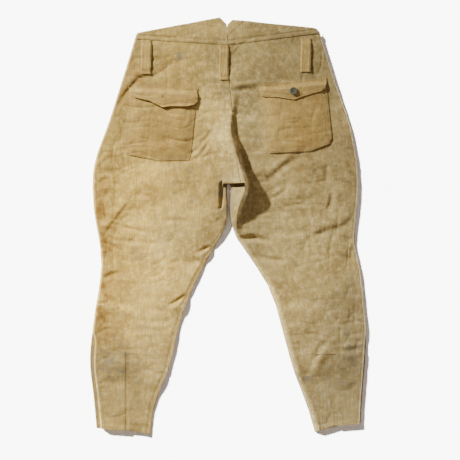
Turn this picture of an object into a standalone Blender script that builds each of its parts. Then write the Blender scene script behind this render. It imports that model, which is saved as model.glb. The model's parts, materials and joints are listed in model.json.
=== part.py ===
"""Fire crew's canvas breeches, laid flat with the back upward.

The trousers lie on z = 0 on their front, waist towards +Y, the wearer's left at -X. Two layers of
panels make the body: the front layer is flat on the floor, and the back layer stands a finger's
width above it, rounded down to the seams along its edges. The seat seam stands up in a ridge,
because the curved seat seam cannot lie flat. Pockets, flaps, belt loops and buttons sit on top.
"""

import math

import bmesh
import bpy
from mathutils import Vector

# Driving sizes, in metres.
LENGTH = 1.016  # lowest hem corner to the highest point of the yoke
WIDTH = 0.676  # across both calves at their widest
CLOTH = 0.0012  # cotton duck
SEAM_GAP = 0.0004  # between pieces that meet edge to edge
SEAT_GAP = 0.0010  # between the halves of the back, along the steep seat seam
LAYER_GAP = 0.0008  # between pieces that lie on each other
HINGE_GAP = 0.0014  # under a flap where it folds
LEG_THICKNESS = 0.0100  # hollow between the two layers
EDGE_ROUND = 0.024  # how far in from an edge the back layer reaches its full height
WAIST_LIFT = CLOTH + LAYER_GAP + SEAM_GAP  # the front waist lies on its own flattened belt loops

RIDGE_HEIGHT = 0.040  # seat seam above the rest of the back
RIDGE_LEFT = 0.085  # reach of its gentle side
RIDGE_RIGHT = 0.022  # reach of its steep side
RIDGE_FADE = 0.030  # below the crotch, it keeps its full height for this far

POCKET_WIDTH = 0.166
POCKET_DEPTH = 0.157
POCKET_ROOM = 0.0070  # height of the space inside the pocket
POCKET_CLOSED = 0.030  # how far up from its foot the pocket fills to that height
MOUTH_BELOW_HINGE = 0.016
FLAP_OVERHANG = 0.001  # a flap's end past the pocket's side
FLAP_SIDE = {-1: 0.028, 1: 0.026}  # depth of each flap at its ends; the left one is cut deeper
FLAP_POINT = {-1: 0.050, 1: 0.041}  # and at its point
FLAP_TAPER = 0.006  # each end leans in by this much
LEFT_FLAP_LIFT = math.radians(8.0)  # the unbuttoned flap springs up
POCKET_BUTTON_RADIUS = 0.009
POCKET_BUTTON_THICKNESS = 0.0030
BUTTON_BELOW_HINGE = 0.020
BUTTONHOLE_CLEARANCE = 0.0018  # the hole as it is pulled open over the button
THREAD_RADIUS = 0.0018
THREAD_HOLE_RADIUS = 0.0009
THREAD_HOLE_OFFSET = 0.0026

LOOP_WIDTH = 0.025
LOOP_LENGTH = 0.082
LOOP_ROOM = 0.0056  # a belt passes under here
LOOP_END = 0.012  # length of each end that is stitched down

FLY_WIDTH = 0.044
FLY_BUTTON_RADIUS = 0.0075
WAIST_BUTTON_RADIUS = 0.0085
FRONT_BUTTON_THICKNESS = 0.0022
SHANK_RADIUS = 0.0020
FLY_HOLE_CLEARANCE = 0.0008
FLY_LIFT = FRONT_BUTTON_THICKNESS + SEAM_GAP + LAYER_GAP  # the fly lies on its buttons
SHIELD_SETBACK = 0.004  # the shield starts this far past the fly's fold
SHIELD_REACH = 0.012  # and runs this far past the fly's free edge
WAIST_BAND = 0.032  # depth of the front waistband
FLY_EASE = (0.018, 0.053)  # beside the fly, the front comes back down to the floor between these
FLY_FOOT_EASE = (0.010, 0.045)  # and below its foot between these

GUSSET_WIDTH = 0.030
GUSSET_LENGTH = 0.030
GUSSET_TAPER = 0.6  # share of its width that the gusset loses at each end
GUSSET_RISE = 0.004  # its upper end tips up by this much
GUSSET_SETBACK = 0.004  # from the foot of the seat seam

VENT_WIDTH = 0.026
VENT_REVEAL = 0.009  # the left underlap shows this much outside its flap
VENT_EASE = 0.040  # length over which the left edge draws in above its vent
STEP = 0.003  # height of the small step that ends a vent or the fly

# The base-size pattern, in millimetres from the middle of the garment, each line from the hem up.
PATTERN_LENGTH = 1016
PATTERN_WIDTH = 676
OUTER_LEFT = (
    (-322, -494), (-328, -427), (-338, -327), (-328, -227), (-310, -88),
    (-329, 50), (-327, 149), (-290, 259), (-250, 384), (-224, 470),
)
OUTER_RIGHT = (
    (324, -482), (328, -419), (335, -330), (338, -264), (333, -200), (324, -113), (309, -34),
    (318, 113), (300, 239), (258, 364), (222, 481),
)
INNER_LEFT = (
    (-190, -508), (-178, -429), (-145, -349), (-120, -244), (-88, -154), (-50, -80), (-5, 5), (-3, 96),
)
INNER_RIGHT = (
    (212, -503), (193, -439), (160, -352), (130, -244), (103, -157), (48, -68), (18, -23), (5, 37), (8, 96),
)
SEAT_SEAM = ((30, 104), (24, 140), (17, 200), (10, 279), (2, 358), (0, 441))
RIDGE_CREST = ((24, -45), (16, 0), (24, 50), (32, 104), (24, 140), (17, 200), (10, 279), (8, 320))
HEM_OUTER = {-1: -494, 1: -482}
HEM_INNER = {-1: -508, 1: -503}
YOKE_SEAM_OUTER = {-1: 455, 1: 469}
YOKE_SEAM_CENTRE = 440
YOKE_TOP = {
    -1: ((-222, 470), (-20, 508), (-3, 491)),
    1: ((-1, 491), (11, 502), (220, 481)),
}
POCKET_PLACE = {-1: (-159, 318), 1: (158, 331)}
POCKET_TILT = {-1: math.radians(-3.7), 1: math.radians(6.2)}
BACK_LOOPS = {"left": (-199, 452), "center": (-10, 438), "right": (189, 457)}
FRONT_LOOPS = {"left": (-125, 445), "right": (125, 445)}
FLY_BUTTONS = (290, 340, 390)
WAIST_BUTTON = 452
HEIGHTS = {
    "waist top": 468,
    "waist lift full": 355,
    "ridge top": 310,
    "waist lift from": 300,
    "fly foot": 246,
    "seat foot": 104,
    "crotch": 96,
    "ridge foot": -45,
    "vent top": -290,
}

SHARP_FROM = math.radians(40.0)  # an edge of a button that turns more than this stays sharp

CANVAS = (0.56, 0.44, 0.24)
CANVAS_DARK = (0.47, 0.35, 0.19)
CANVAS_GREY = (0.49, 0.40, 0.25)
HORN = (0.07, 0.075, 0.06)
BRASS = (0.50, 0.38, 0.18)
THREAD = (0.42, 0.33, 0.18)


def lerp(a, b, t):
    """From a at t = 0 to b at t = 1."""
    return a + (b - a) * t


def smooth(start, end, t):
    """0 before start, 1 past end, and an S between them. start may be the larger."""
    s = min(max((t - start) / (end - start), 0.0), 1.0)
    return s * s * (3.0 - 2.0 * s)


def rounded(t):
    """The side of a rounded edge: 0 at the edge and 1 from t = 1 inwards."""
    return math.sin(math.pi / 2 * min(max(t, 0.0), 1.0))


def graded(x, y):
    """A pattern point, in millimetres, graded to this garment, in metres."""
    return Vector((x * WIDTH / PATTERN_WIDTH, y * LENGTH / PATTERN_LENGTH))


def seam(stations):
    """A smooth seam through its pattern points, as a function from height to x."""
    points = [graded(x, y) for x, y in stations]

    def slope(i):
        low = points[max(i - 1, 0)]
        high = points[min(i + 1, len(points) - 1)]
        return (high.x - low.x) / (high.y - low.y)

    def x_at(y):
        if y <= points[0].y:
            return points[0].x
        if y >= points[-1].y:
            return points[-1].x
        i = max(k for k in range(len(points) - 1) if points[k].y <= y)
        a, b = points[i], points[i + 1]
        step = b.y - a.y
        t = (y - a.y) / step
        bend_a = slope(i) * step
        bend_b = slope(i + 1) * step
        return (
            (2 * t**3 - 3 * t**2 + 1) * a.x
            + (t**3 - 2 * t**2 + t) * bend_a
            + (3 * t**2 - 2 * t**3) * b.x
            + (t**3 - t**2) * bend_b
        )

    return x_at


outer_seam = {-1: seam(OUTER_LEFT), 1: seam(OUTER_RIGHT)}
inner_seam = {-1: seam(INNER_LEFT), 1: seam(INNER_RIGHT)}
seat_seam = seam(SEAT_SEAM)
ridge_crest = seam(RIDGE_CREST)


def y_of(pattern_y):
    """A pattern height, graded."""
    return graded(0, pattern_y).y


WAIST_TOP = y_of(HEIGHTS["waist top"])
FLY_FOOT = y_of(HEIGHTS["fly foot"])
SEAT_FOOT = y_of(HEIGHTS["seat foot"])
CROTCH = y_of(HEIGHTS["crotch"])
VENT_TOP = y_of(HEIGHTS["vent top"])


def back_edge(side, y):
    """Outer edge of the back layer: just inside the outer seam, and further in at the left vent."""
    reveal = VENT_REVEAL if side < 0 else 0.0
    inset = LAYER_GAP + reveal * smooth(VENT_TOP + VENT_EASE, VENT_TOP, y)
    return outer_seam[side](y) - side * inset


def vent_line(side, y):
    """The straight line that a calf vent's flap folds on."""
    hem = y_of(HEM_OUTER[side])
    top = back_edge(side, VENT_TOP) - side * VENT_WIDTH
    foot = back_edge(side, hem) - side * VENT_WIDTH
    return lerp(foot, top, (y - hem) / (VENT_TOP - hem))


def waist_lift(y):
    """How far the whole waist stands above the floor."""
    return WAIST_LIFT * smooth(y_of(HEIGHTS["waist lift from"]), y_of(HEIGHTS["waist lift full"]), y)


def front_height(x, y):
    """Underside of the front layer."""
    beside_fly = smooth(FLY_WIDTH / 2 + FLY_EASE[1], FLY_WIDTH / 2 + FLY_EASE[0], abs(x))
    above_fly_foot = smooth(FLY_FOOT - FLY_FOOT_EASE[1], FLY_FOOT - FLY_FOOT_EASE[0], y)
    return waist_lift(y) + FLY_LIFT * beside_fly * above_fly_foot


def ridge_height(side, x, y):
    """How far the pinched seat seam lifts the back layer."""
    crest = ridge_crest(y)
    reach = RIDGE_LEFT if x < crest else RIDGE_RIGHT
    s = min(abs(x - crest) / reach, 1.0)
    along = smooth(y_of(HEIGHTS["ridge top"]), CROTCH, y)
    along *= smooth(y_of(HEIGHTS["ridge foot"]), CROTCH - RIDGE_FADE, y)
    if side < 0:
        along *= smooth(CROTCH - RIDGE_FADE, SEAT_FOOT, y)
    return RIDGE_HEIGHT * along * (1.0 - s * s) ** 2


def back_height(side, x, y):
    """Underside of the back layer."""
    outer = side * (back_edge(side, y) - x)
    inner = side * (x - inner_seam[side](y))
    at_inner = lerp(rounded(inner / EDGE_ROUND), 1.0, smooth(CROTCH, SEAT_FOOT, y))
    rise = LEG_THICKNESS + ridge_height(side, x, y)
    return waist_lift(y) + CLOTH + LAYER_GAP + rise * rounded(outer / EDGE_ROUND) * at_inner


def back_top(side, x, y):
    """Outside of the back layer."""
    return back_height(side, x, y) + CLOTH


def material(name, colour, roughness, metallic=0.0):
    """One finish for one sub-part."""
    made = bpy.data.materials.new(name)
    made.use_nodes = True
    shader = made.node_tree.nodes["Principled BSDF"]
    shader.inputs["Base Color"].default_value = (*colour, 1.0)
    shader.inputs["Roughness"].default_value = roughness
    shader.inputs["Metallic"].default_value = metallic
    made.diffuse_color = (*colour, 1.0)
    return made


def keep(name, mesh, origin, colour, roughness=0.95, metallic=0.0):
    """Make the object for a mesh whose points are given from its origin."""
    made = bpy.data.objects.new(name, mesh)
    made.location = origin
    mesh.materials.append(material(name, colour, roughness, metallic))
    parts.objects.link(made)
    return made


def sheet(name, columns, rows, place, colour, origin=(0.0, 0.0, 0.0), thickness=CLOTH, even=False):
    """A piece of cloth: a grid laid out by place(u, v), thickened upwards from its underside."""
    bm = bmesh.new()
    bmesh.ops.create_grid(bm, x_segments=columns, y_segments=rows, size=0.5)
    for vertex in bm.verts:
        u = vertex.co.x + 0.5
        v = vertex.co.y + 0.5
        across = u if even else 0.5 - 0.5 * math.cos(math.pi * u)
        vertex.co = Vector(place(across, v)) - Vector(origin)
    mesh = bpy.data.meshes.new(name)
    bm.to_mesh(mesh)
    bm.free()
    made = keep(name, mesh, origin, colour)
    wall = made.modifiers.new("cloth", "SOLIDIFY")
    wall.thickness = thickness
    wall.offset = 1.0
    return made


def along_rows(rows, knots):
    """Height along an edge: knots are (row, height) and the rows between are spaced evenly."""

    def height(v):
        row = v * rows
        for (row_a, y_a), (row_b, y_b) in zip(knots, knots[1:]):
            if row <= row_b + 1e-6:
                return lerp(y_a, y_b, (row - row_a) / (row_b - row_a))
        return knots[-1][1]

    return height


def panel(name, side, columns, rows, outer, inner, outer_knots, inner_knots, height, colour):
    """A trouser panel between an outer and an inner edge, each a function from height to x."""
    outer_rows = along_rows(rows, outer_knots)
    inner_rows = along_rows(rows, inner_knots)

    def place(u, v):
        share = u if side < 0 else 1.0 - u
        y_out = outer_rows(v)
        y_in = inner_rows(v)
        x = lerp(outer(y_out), inner(y_in), share)
        y = lerp(y_out, y_in, share)
        return x, y, height(x, y)

    return sheet(name, columns, rows, place, colour)


def cutter(name, radius, depth, location):
    """A drill for a buttonhole."""
    bm = bmesh.new()
    bmesh.ops.create_cone(
        bm, cap_ends=True, segments=20, radius1=radius, radius2=radius, depth=depth
    )
    mesh = bpy.data.meshes.new(name)
    bm.to_mesh(mesh)
    bm.free()
    made = bpy.data.objects.new(name, mesh)
    made.location = location
    made.hide_render = True
    made.display_type = "WIRE"
    cutters.objects.link(made)
    return made


def cut(target, tool):
    """Take a tool's shape out of a piece."""
    hole = target.modifiers.new(tool.name, "BOOLEAN")
    hole.operation = "DIFFERENCE"
    hole.solver = "EXACT"
    hole.object = tool


def turned(name, profile, location, colour, roughness, metallic=0.0, steps=20):
    """A round piece turned about its upright axis from (radius, height) points, top to bottom."""
    outline = bpy.data.meshes.new(name + "_profile")
    edges = [(i, i + 1) for i in range(len(profile) - 1)]
    outline.from_pydata([(radius, 0.0, height) for radius, height in profile], edges, [])
    lathe = bpy.data.objects.new(name + "_profile", outline)
    parts.objects.link(lathe)
    screw = lathe.modifiers.new("turn", "SCREW")
    screw.steps = steps
    screw.render_steps = steps
    screw.use_merge_vertices = True
    screw.merge_threshold = 0.00001
    ready = lathe.evaluated_get(bpy.context.evaluated_depsgraph_get())
    mesh = bpy.data.meshes.new_from_object(ready)
    bpy.data.objects.remove(lathe)
    mesh.name = name
    mesh.shade_smooth()
    mesh.set_sharp_from_angle(angle=SHARP_FROM)
    return keep(name, mesh, location, colour, roughness, metallic)


# ------------------------------------------------------------------ the two layers of panels

BACK_COLUMNS = 16
BACK_ROWS = 44
FRONT_COLUMNS = 8
FRONT_ROWS = 30
YOKE_COLUMNS = 16


def back_panel(side, name):
    """Half of the back layer, hem to yoke, with the vent's strip left out of its outer edge."""

    def outer(y):
        if y < VENT_TOP - STEP / 2:
            return vent_line(side, y) - side * SEAM_GAP
        return back_edge(side, y)

    def inner(y):
        if y < (CROTCH + SEAT_FOOT) / 2:
            return inner_seam[side](y)
        return seat_seam(y) + side * SEAT_GAP / 2

    def knots(hem, yoke_seam):
        return (
            (0, y_of(hem)), (9, VENT_TOP - STEP), (10, VENT_TOP), (28, CROTCH),
            (29, SEAT_FOOT), (BACK_ROWS, y_of(yoke_seam) - SEAM_GAP),
        )

    outer_knots = knots(HEM_OUTER[side], YOKE_SEAM_OUTER[side])
    inner_knots = knots(HEM_INNER[side], YOKE_SEAM_CENTRE)
    panel(
        name, side, BACK_COLUMNS, BACK_ROWS, outer, inner, outer_knots, inner_knots,
        lambda x, y: back_height(side, x, y), CANVAS,
    )


def front_panel(side, name):
    """Half of the front layer, with its edge set back along the fly and beside the vent."""

    def outer(y):
        if y < VENT_TOP - STEP / 2:
            return vent_line(side, y) - side * SEAM_GAP
        return outer_seam[side](y)

    def inner(y):
        if y < (CROTCH + SEAT_FOOT) / 2:
            return inner_seam[side](y)
        if y < FLY_FOOT - STEP:
            return side * SEAM_GAP / 2
        return side * (FLY_WIDTH / 2 + SEAM_GAP)

    def knots(hem):
        return (
            (0, y_of(hem)), (4, VENT_TOP - STEP), (5, VENT_TOP), (13, CROTCH), (14, SEAT_FOOT),
            (18, FLY_FOOT - 2 * STEP), (19, FLY_FOOT - STEP),
            (FRONT_ROWS, WAIST_TOP - WAIST_BAND - SEAM_GAP),
        )

    panel(
        name, side, FRONT_COLUMNS, FRONT_ROWS, outer, inner, knots(HEM_OUTER[side]),
        knots(HEM_INNER[side]), front_height, CANVAS,
    )


def polyline(points, u):
    """The point a share u of the way along straight runs of equal share."""
    run = min(int(u * (len(points) - 1)), len(points) - 2)
    return points[run].lerp(points[run + 1], u * (len(points) - 1) - run)


def yoke(side, name):
    """Half of the shaped back waist, up to the notch at the middle."""
    seam_out = Vector((outer_seam[side](y_of(YOKE_SEAM_OUTER[side])), y_of(YOKE_SEAM_OUTER[side])))
    seam_mid = Vector((seat_seam(y_of(YOKE_SEAM_CENTRE)) + side * SEAT_GAP / 2, y_of(YOKE_SEAM_CENTRE)))
    ends = (seam_out, seam_mid) if side < 0 else (seam_mid, seam_out)
    top = [graded(x, y) for x, y in YOKE_TOP[side]]
    peak_column = YOKE_COLUMNS - 1 if side < 0 else 1
    peak_share = peak_column / YOKE_COLUMNS

    def place(u, v):
        foot = ends[0].lerp(ends[1], u)
        if u < peak_share:
            head = top[0].lerp(top[1], u / peak_share)
        else:
            head = top[1].lerp(top[2], (u - peak_share) / (1.0 - peak_share))
        spot = foot.lerp(head, v)
        return spot.x, spot.y, back_height(side, spot.x, spot.y)

    sheet(name, YOKE_COLUMNS, 3, place, CANVAS, even=True)


def front_band(side, name):
    """Half of the front waistband, from the fly to the side seam."""

    def place(u, v):
        y = lerp(WAIST_TOP - WAIST_BAND, WAIST_TOP, v)
        fly = side * (FLY_WIDTH / 2 + SEAM_GAP)
        x = lerp(outer_seam[side](y), fly, u) if side < 0 else lerp(fly, outer_seam[side](y), u)
        return x, y, front_height(x, y)

    sheet(name, 8, 2, place, CANVAS)


def gusset():
    """The small piece where the four leg seams meet, folded up under the seat ridge."""
    middle = (inner_seam[1](CROTCH) + seat_seam(SEAT_FOOT)) / 2

    def place(u, v):
        narrowing = 1.0 - abs(2.0 * v - 1.0) * GUSSET_TAPER
        x = middle + GUSSET_WIDTH * (u - 0.5) * narrowing
        y = SEAT_FOOT + GUSSET_SETBACK + GUSSET_LENGTH * v
        return x, y, 2 * CLOTH + LAYER_GAP + GUSSET_RISE * v

    sheet("crotch_gusset", 4, 4, place, CANVAS_DARK)


# ------------------------------------------------------------------ pockets, flaps and buttons


def pocket_point(side, out, down):
    """A point from the middle of a pocket's mouth: out towards the side seam, and down."""
    tilt = POCKET_TILT[side]
    along = Vector((math.cos(tilt), math.sin(tilt))) * side
    downward = Vector((math.sin(tilt), -math.cos(tilt)))
    return graded(*POCKET_PLACE[side]) + along * out + downward * down


def pocket_room(out, down):
    """Height of the space between a pocket and the trouser back."""
    across = max(1.0 - (2.0 * out / (POCKET_WIDTH + 0.006)) ** 4, 0.0)
    return POCKET_ROOM * across * rounded((POCKET_DEPTH - down) / POCKET_CLOSED)


def pocket(side, name):
    """A patch pocket with one cut corner, stitched down on all edges but its mouth."""
    half = POCKET_WIDTH / 2
    foot = [
        Vector((-half + 0.008, POCKET_DEPTH - 0.007)), Vector((0.005, POCKET_DEPTH)),
        Vector((half - 0.009, POCKET_DEPTH - 0.010)), Vector((half + 0.003, POCKET_DEPTH - 0.037)),
    ]

    def place(u, v):
        out = u if side > 0 else 1.0 - u
        low = polyline(foot, out)
        high = Vector((lerp(-half, half, out), 0.0))
        spot = low.lerp(high, v)
        x, y = pocket_point(side, spot.x, spot.y)
        return x, y, back_top(side, x, y) + LAYER_GAP + pocket_room(spot.x, spot.y)

    sheet(name, 12, 10, place, CANVAS_DARK)


def flap_height(side, x, y, out, down):
    """Underside of a flap, down from its hinge: it climbs over the pocket's mouth."""
    climb = smooth(0.0, MOUTH_BELOW_HINGE - 0.002, down)
    over = pocket_room(out, down - MOUTH_BELOW_HINGE) + CLOTH + LAYER_GAP
    lift = math.tan(LEFT_FLAP_LIFT) * down if side < 0 else 0.0
    return back_top(side, x, y) + HINGE_GAP + climb * over + lift


def hinge_place(side):
    """Middle of the line that a pocket flap folds on."""
    x, y = pocket_point(side, 0.0, -MOUTH_BELOW_HINGE)
    return Vector((x, y, back_top(side, x, y) + HINGE_GAP + CLOTH / 2))


def button_place(side):
    """Where a pocket's button is sewn, on the outside of the pocket."""
    down = BUTTON_BELOW_HINGE - MOUTH_BELOW_HINGE
    x, y = pocket_point(side, 0.0, down)
    return Vector((x, y, back_top(side, x, y) + LAYER_GAP + pocket_room(0.0, down) + CLOTH))


def flap(side, name):
    """A pointed pocket flap with its buttonhole."""
    half = POCKET_WIDTH / 2 + FLAP_OVERHANG
    foot = [
        Vector((-half + FLAP_TAPER, FLAP_SIDE[side])), Vector((0.0, FLAP_POINT[side])),
        Vector((half - FLAP_TAPER, FLAP_SIDE[side])),
    ]

    def place(u, v):
        out = u if side > 0 else 1.0 - u
        low = polyline(foot, out)
        high = Vector((lerp(-half, half, out), 0.0))
        spot = low.lerp(high, v)
        x, y = pocket_point(side, spot.x, spot.y - MOUTH_BELOW_HINGE)
        return x, y, flap_height(side, x, y, spot.x, spot.y)

    made = sheet(name, 16, 8, place, CANVAS_DARK, origin=hinge_place(side))
    hole = cutter(
        name + "_buttonhole", POCKET_BUTTON_RADIUS + BUTTONHOLE_CLEARANCE, 0.06, button_place(side)
    )
    cut(made, hole)


def pocket_button(side, side_name):
    """A four-hole button on a wound thread shank that stands through the flap."""
    seat = button_place(side)
    thread_top = HINGE_GAP + CLOTH + LAYER_GAP
    base = thread_top + SEAM_GAP
    rim = POCKET_BUTTON_RADIUS
    thick = POCKET_BUTTON_THICKNESS
    made = turned(
        "pocket_button_" + side_name,
        (
            (0.0, base + thick * 0.62), (rim * 0.62, base + thick * 0.62), (rim * 0.74, base + thick),
            (rim * 0.94, base + thick), (rim, base + thick * 0.75), (rim, base + thick * 0.35),
            (rim * 0.80, base), (0.0, base),
        ),
        seat, HORN, 0.35,
    )
    for k in range(4):
        angle = math.radians(45 + 90 * k)
        offset = Vector((math.cos(angle), math.sin(angle))) * THREAD_HOLE_OFFSET
        spot = seat + Vector((offset.x, offset.y, base))
        cut(made, cutter(f"{made.name}_hole_{k + 1}", THREAD_HOLE_RADIUS, 0.02, spot))
    turned(
        "button_thread_" + side_name,
        (
            (0.0, thread_top), (THREAD_RADIUS, thread_top),
            (THREAD_RADIUS, LAYER_GAP / 2), (0.0, LAYER_GAP / 2),
        ),
        seat, THREAD, 0.9, steps=10,
    )


# ------------------------------------------------------------------ belt loops


def loop_arch(v):
    """Shape of a belt loop along its length: flat ends and a level bridge between."""
    end = LOOP_END / LOOP_LENGTH
    return smooth(end * 0.4, end * 1.4, v) * smooth(1.0 - end * 0.4, 1.0 - end * 1.4, v)


def back_loop(name, place_at):
    """A belt loop from the yoke seam down, standing clear of the back for a belt."""
    top = graded(*place_at)
    side = -1 if top.x < seat_seam(top.y) else 1

    def place(u, v):
        x = top.x + lerp(-LOOP_WIDTH / 2, LOOP_WIDTH / 2, u)
        y = top.y - LOOP_LENGTH * (1.0 - v)
        ground = back_top(side, top.x, y)
        return x, y, ground + LAYER_GAP + LOOP_ROOM * loop_arch(v)

    sheet(name, 2, 16, place, CANVAS_DARK, even=True)


def front_loop(name, place_at):
    """A belt loop under the front waist, pressed flat between the trousers and the floor."""
    top = graded(*place_at)

    def place(u, v):
        x = top.x + lerp(-LOOP_WIDTH / 2, LOOP_WIDTH / 2, u)
        y = top.y - LOOP_LENGTH * (1.0 - v)
        return x, y, front_height(x, y) - LAYER_GAP - CLOTH

    sheet(name, 2, 4, place, CANVAS_DARK, even=True)


# ------------------------------------------------------------------ the fly


def fly_flap():
    """The left front's overlap with its four buttonholes, folding on its left edge."""
    origin = Vector((-FLY_WIDTH / 2, (FLY_FOOT + WAIST_TOP) / 2, FLY_LIFT))

    def place(u, v):
        x = lerp(-FLY_WIDTH / 2, FLY_WIDTH / 2, u)
        y = lerp(FLY_FOOT, WAIST_TOP, v)
        return x, y, front_height(x, y)

    made = sheet("fly_flap", 4, 16, place, CANVAS, origin=origin)
    for number, height in enumerate(FLY_BUTTONS):
        spot = Vector((0.0, y_of(height), FLY_LIFT))
        cut(made, cutter(f"fly_hole_{number + 1}", FLY_BUTTON_RADIUS + FLY_HOLE_CLEARANCE, 0.03, spot))
    spot = Vector((0.0, y_of(WAIST_BUTTON), FLY_LIFT + WAIST_LIFT))
    cut(made, cutter("waist_hole", WAIST_BUTTON_RADIUS + FLY_HOLE_CLEARANCE, 0.03, spot))


def fly_shield():
    """The right front's underlap that carries the buttons."""

    def place(u, v):
        x = lerp(-FLY_WIDTH / 2 + SHIELD_SETBACK, FLY_WIDTH / 2 + SHIELD_REACH, u)
        y = lerp(FLY_FOOT - SHIELD_SETBACK, WAIST_TOP - SHIELD_SETBACK, v)
        return x, y, front_height(x, y) + CLOTH + LAYER_GAP

    sheet("fly_shield", 4, 16, place, CANVAS_DARK)


def front_button(name, radius, height):
    """A metal shank button, its head below the fly and its shank up to the shield."""
    y = y_of(height)
    level = front_height(0.0, y)
    head_top = -SEAM_GAP
    head_low = head_top - FRONT_BUTTON_THICKNESS
    shank_top = CLOTH + LAYER_GAP - SEAM_GAP
    turned(
        name,
        (
            (0.0, shank_top), (SHANK_RADIUS, shank_top), (SHANK_RADIUS, head_top),
            (radius * 0.9, head_top), (radius, head_top - FRONT_BUTTON_THICKNESS * 0.3),
            (radius * 0.85, head_low), (0.0, head_low),
        ),
        (0.0, y, level), BRASS, 0.45, 0.9, steps=16,
    )


# ------------------------------------------------------------------ calf vents


def vent_strip(side, name, edge, height, columns, rows, origin, colour):
    """A strip between the vent's fold line and an outer edge, from the hem to the vent's top."""
    hem = y_of(HEM_OUTER[side])

    def place(u, v):
        share = u if side < 0 else 1.0 - u
        y = lerp(hem, VENT_TOP - STEP - SEAM_GAP, v)
        x = lerp(edge(y), vent_line(side, y) + side * SEAM_GAP / 2, share)
        return x, y, height(x, y)

    sheet(name, columns, rows, place, colour, origin=origin)


def vent_hinge(side):
    """Middle of a vent flap's fold line."""
    hem = y_of(HEM_OUTER[side])
    y = (hem + VENT_TOP - STEP) / 2
    x = vent_line(side, y)
    return Vector((x, y, back_top(side, x, y)))


def vent(side, side_name):
    """The calf opening: a flap on the back layer over a strip on the front layer."""
    vent_strip(
        side, "vent_flap_" + side_name, lambda y: back_edge(side, y),
        lambda x, y: back_height(side, x, y), 6, 12, vent_hinge(side), CANVAS_GREY,
    )
    vent_strip(
        side, "vent_underlap_" + side_name, outer_seam[side], front_height, 3, 8,
        (0.0, 0.0, 0.0), CANVAS_DARK,
    )


def clear_scene():
    """Start from an empty scene."""
    for old in list(bpy.data.objects):
        bpy.data.objects.remove(old, do_unlink=True)


clear_scene()
parts = bpy.data.collections.new("bunker_pants")
cutters = bpy.data.collections.new("cutters")
bpy.context.scene.collection.children.link(parts)
bpy.context.scene.collection.children.link(cutters)

for side, side_name in ((-1, "left"), (1, "right")):
    back_panel(side, "back_panel_" + side_name)
    front_panel(side, "front_panel_" + side_name)
    yoke(side, "back_yoke_" + side_name)
    front_band(side, "waistband_front_" + side_name)
    pocket(side, "back_pocket_" + side_name)
    flap(side, "pocket_flap_" + side_name)
    pocket_button(side, side_name)
    vent(side, side_name)
gusset()
for loop_name, place_at in BACK_LOOPS.items():
    back_loop("belt_loop_back_" + loop_name, place_at)
for loop_name, place_at in FRONT_LOOPS.items():
    front_loop("belt_loop_front_" + loop_name, place_at)
fly_flap()
fly_shield()
for number, height in enumerate(FLY_BUTTONS):
    front_button(f"fly_button_{number + 1}", FLY_BUTTON_RADIUS, height)
front_button("waist_button", WAIST_BUTTON_RADIUS, WAIST_BUTTON)
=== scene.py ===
# %% [markdown]
# # A fire crew's canvas breeches
# A pair of cotton duck breeches lies on its front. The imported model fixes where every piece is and
# which body it moves with. The cells below make the cloth, the sewing and the finishes around it.

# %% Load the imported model
import json
import math

import bmesh
import bpy
import numpy as np
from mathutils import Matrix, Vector


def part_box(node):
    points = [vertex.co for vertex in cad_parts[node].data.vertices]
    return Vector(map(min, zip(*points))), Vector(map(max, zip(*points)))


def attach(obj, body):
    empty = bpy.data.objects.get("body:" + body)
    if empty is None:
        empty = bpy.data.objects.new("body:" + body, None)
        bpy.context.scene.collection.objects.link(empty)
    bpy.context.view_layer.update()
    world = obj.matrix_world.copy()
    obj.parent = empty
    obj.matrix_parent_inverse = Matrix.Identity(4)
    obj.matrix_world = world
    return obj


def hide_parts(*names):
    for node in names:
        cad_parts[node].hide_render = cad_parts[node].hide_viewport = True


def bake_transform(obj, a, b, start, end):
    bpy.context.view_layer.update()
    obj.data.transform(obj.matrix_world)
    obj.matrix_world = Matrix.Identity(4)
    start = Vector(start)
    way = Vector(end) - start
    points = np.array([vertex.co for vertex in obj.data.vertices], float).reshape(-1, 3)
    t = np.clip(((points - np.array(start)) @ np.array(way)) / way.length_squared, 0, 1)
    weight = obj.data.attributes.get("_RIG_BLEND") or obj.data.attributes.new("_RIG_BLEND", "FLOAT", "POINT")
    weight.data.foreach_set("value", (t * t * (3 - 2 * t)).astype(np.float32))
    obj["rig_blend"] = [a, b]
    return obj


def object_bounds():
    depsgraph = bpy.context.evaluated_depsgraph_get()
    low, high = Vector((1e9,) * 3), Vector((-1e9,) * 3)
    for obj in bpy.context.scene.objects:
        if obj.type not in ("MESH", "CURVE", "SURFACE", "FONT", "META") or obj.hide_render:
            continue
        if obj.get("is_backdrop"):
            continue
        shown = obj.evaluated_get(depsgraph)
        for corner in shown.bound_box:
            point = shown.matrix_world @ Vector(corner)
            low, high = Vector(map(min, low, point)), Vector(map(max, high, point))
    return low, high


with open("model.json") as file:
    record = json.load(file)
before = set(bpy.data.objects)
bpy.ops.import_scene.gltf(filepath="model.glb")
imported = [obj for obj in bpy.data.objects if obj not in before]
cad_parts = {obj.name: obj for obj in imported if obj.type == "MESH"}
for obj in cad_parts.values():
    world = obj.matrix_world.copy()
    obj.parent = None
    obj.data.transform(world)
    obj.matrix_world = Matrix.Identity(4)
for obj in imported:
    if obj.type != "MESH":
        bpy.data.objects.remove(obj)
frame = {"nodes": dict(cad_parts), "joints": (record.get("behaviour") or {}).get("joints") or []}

CAD_BOX = [list(corner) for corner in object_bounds()]
nodes = frame["nodes"]
box = {name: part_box(name) for name in nodes}
joints = {joint["name"]: joint for joint in frame["joints"]}
SIDE = {"left": -1, "right": 1}
print("size in mm:", [round(1000 * (high - low)) for low, high in zip(*CAD_BOX)])

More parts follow.
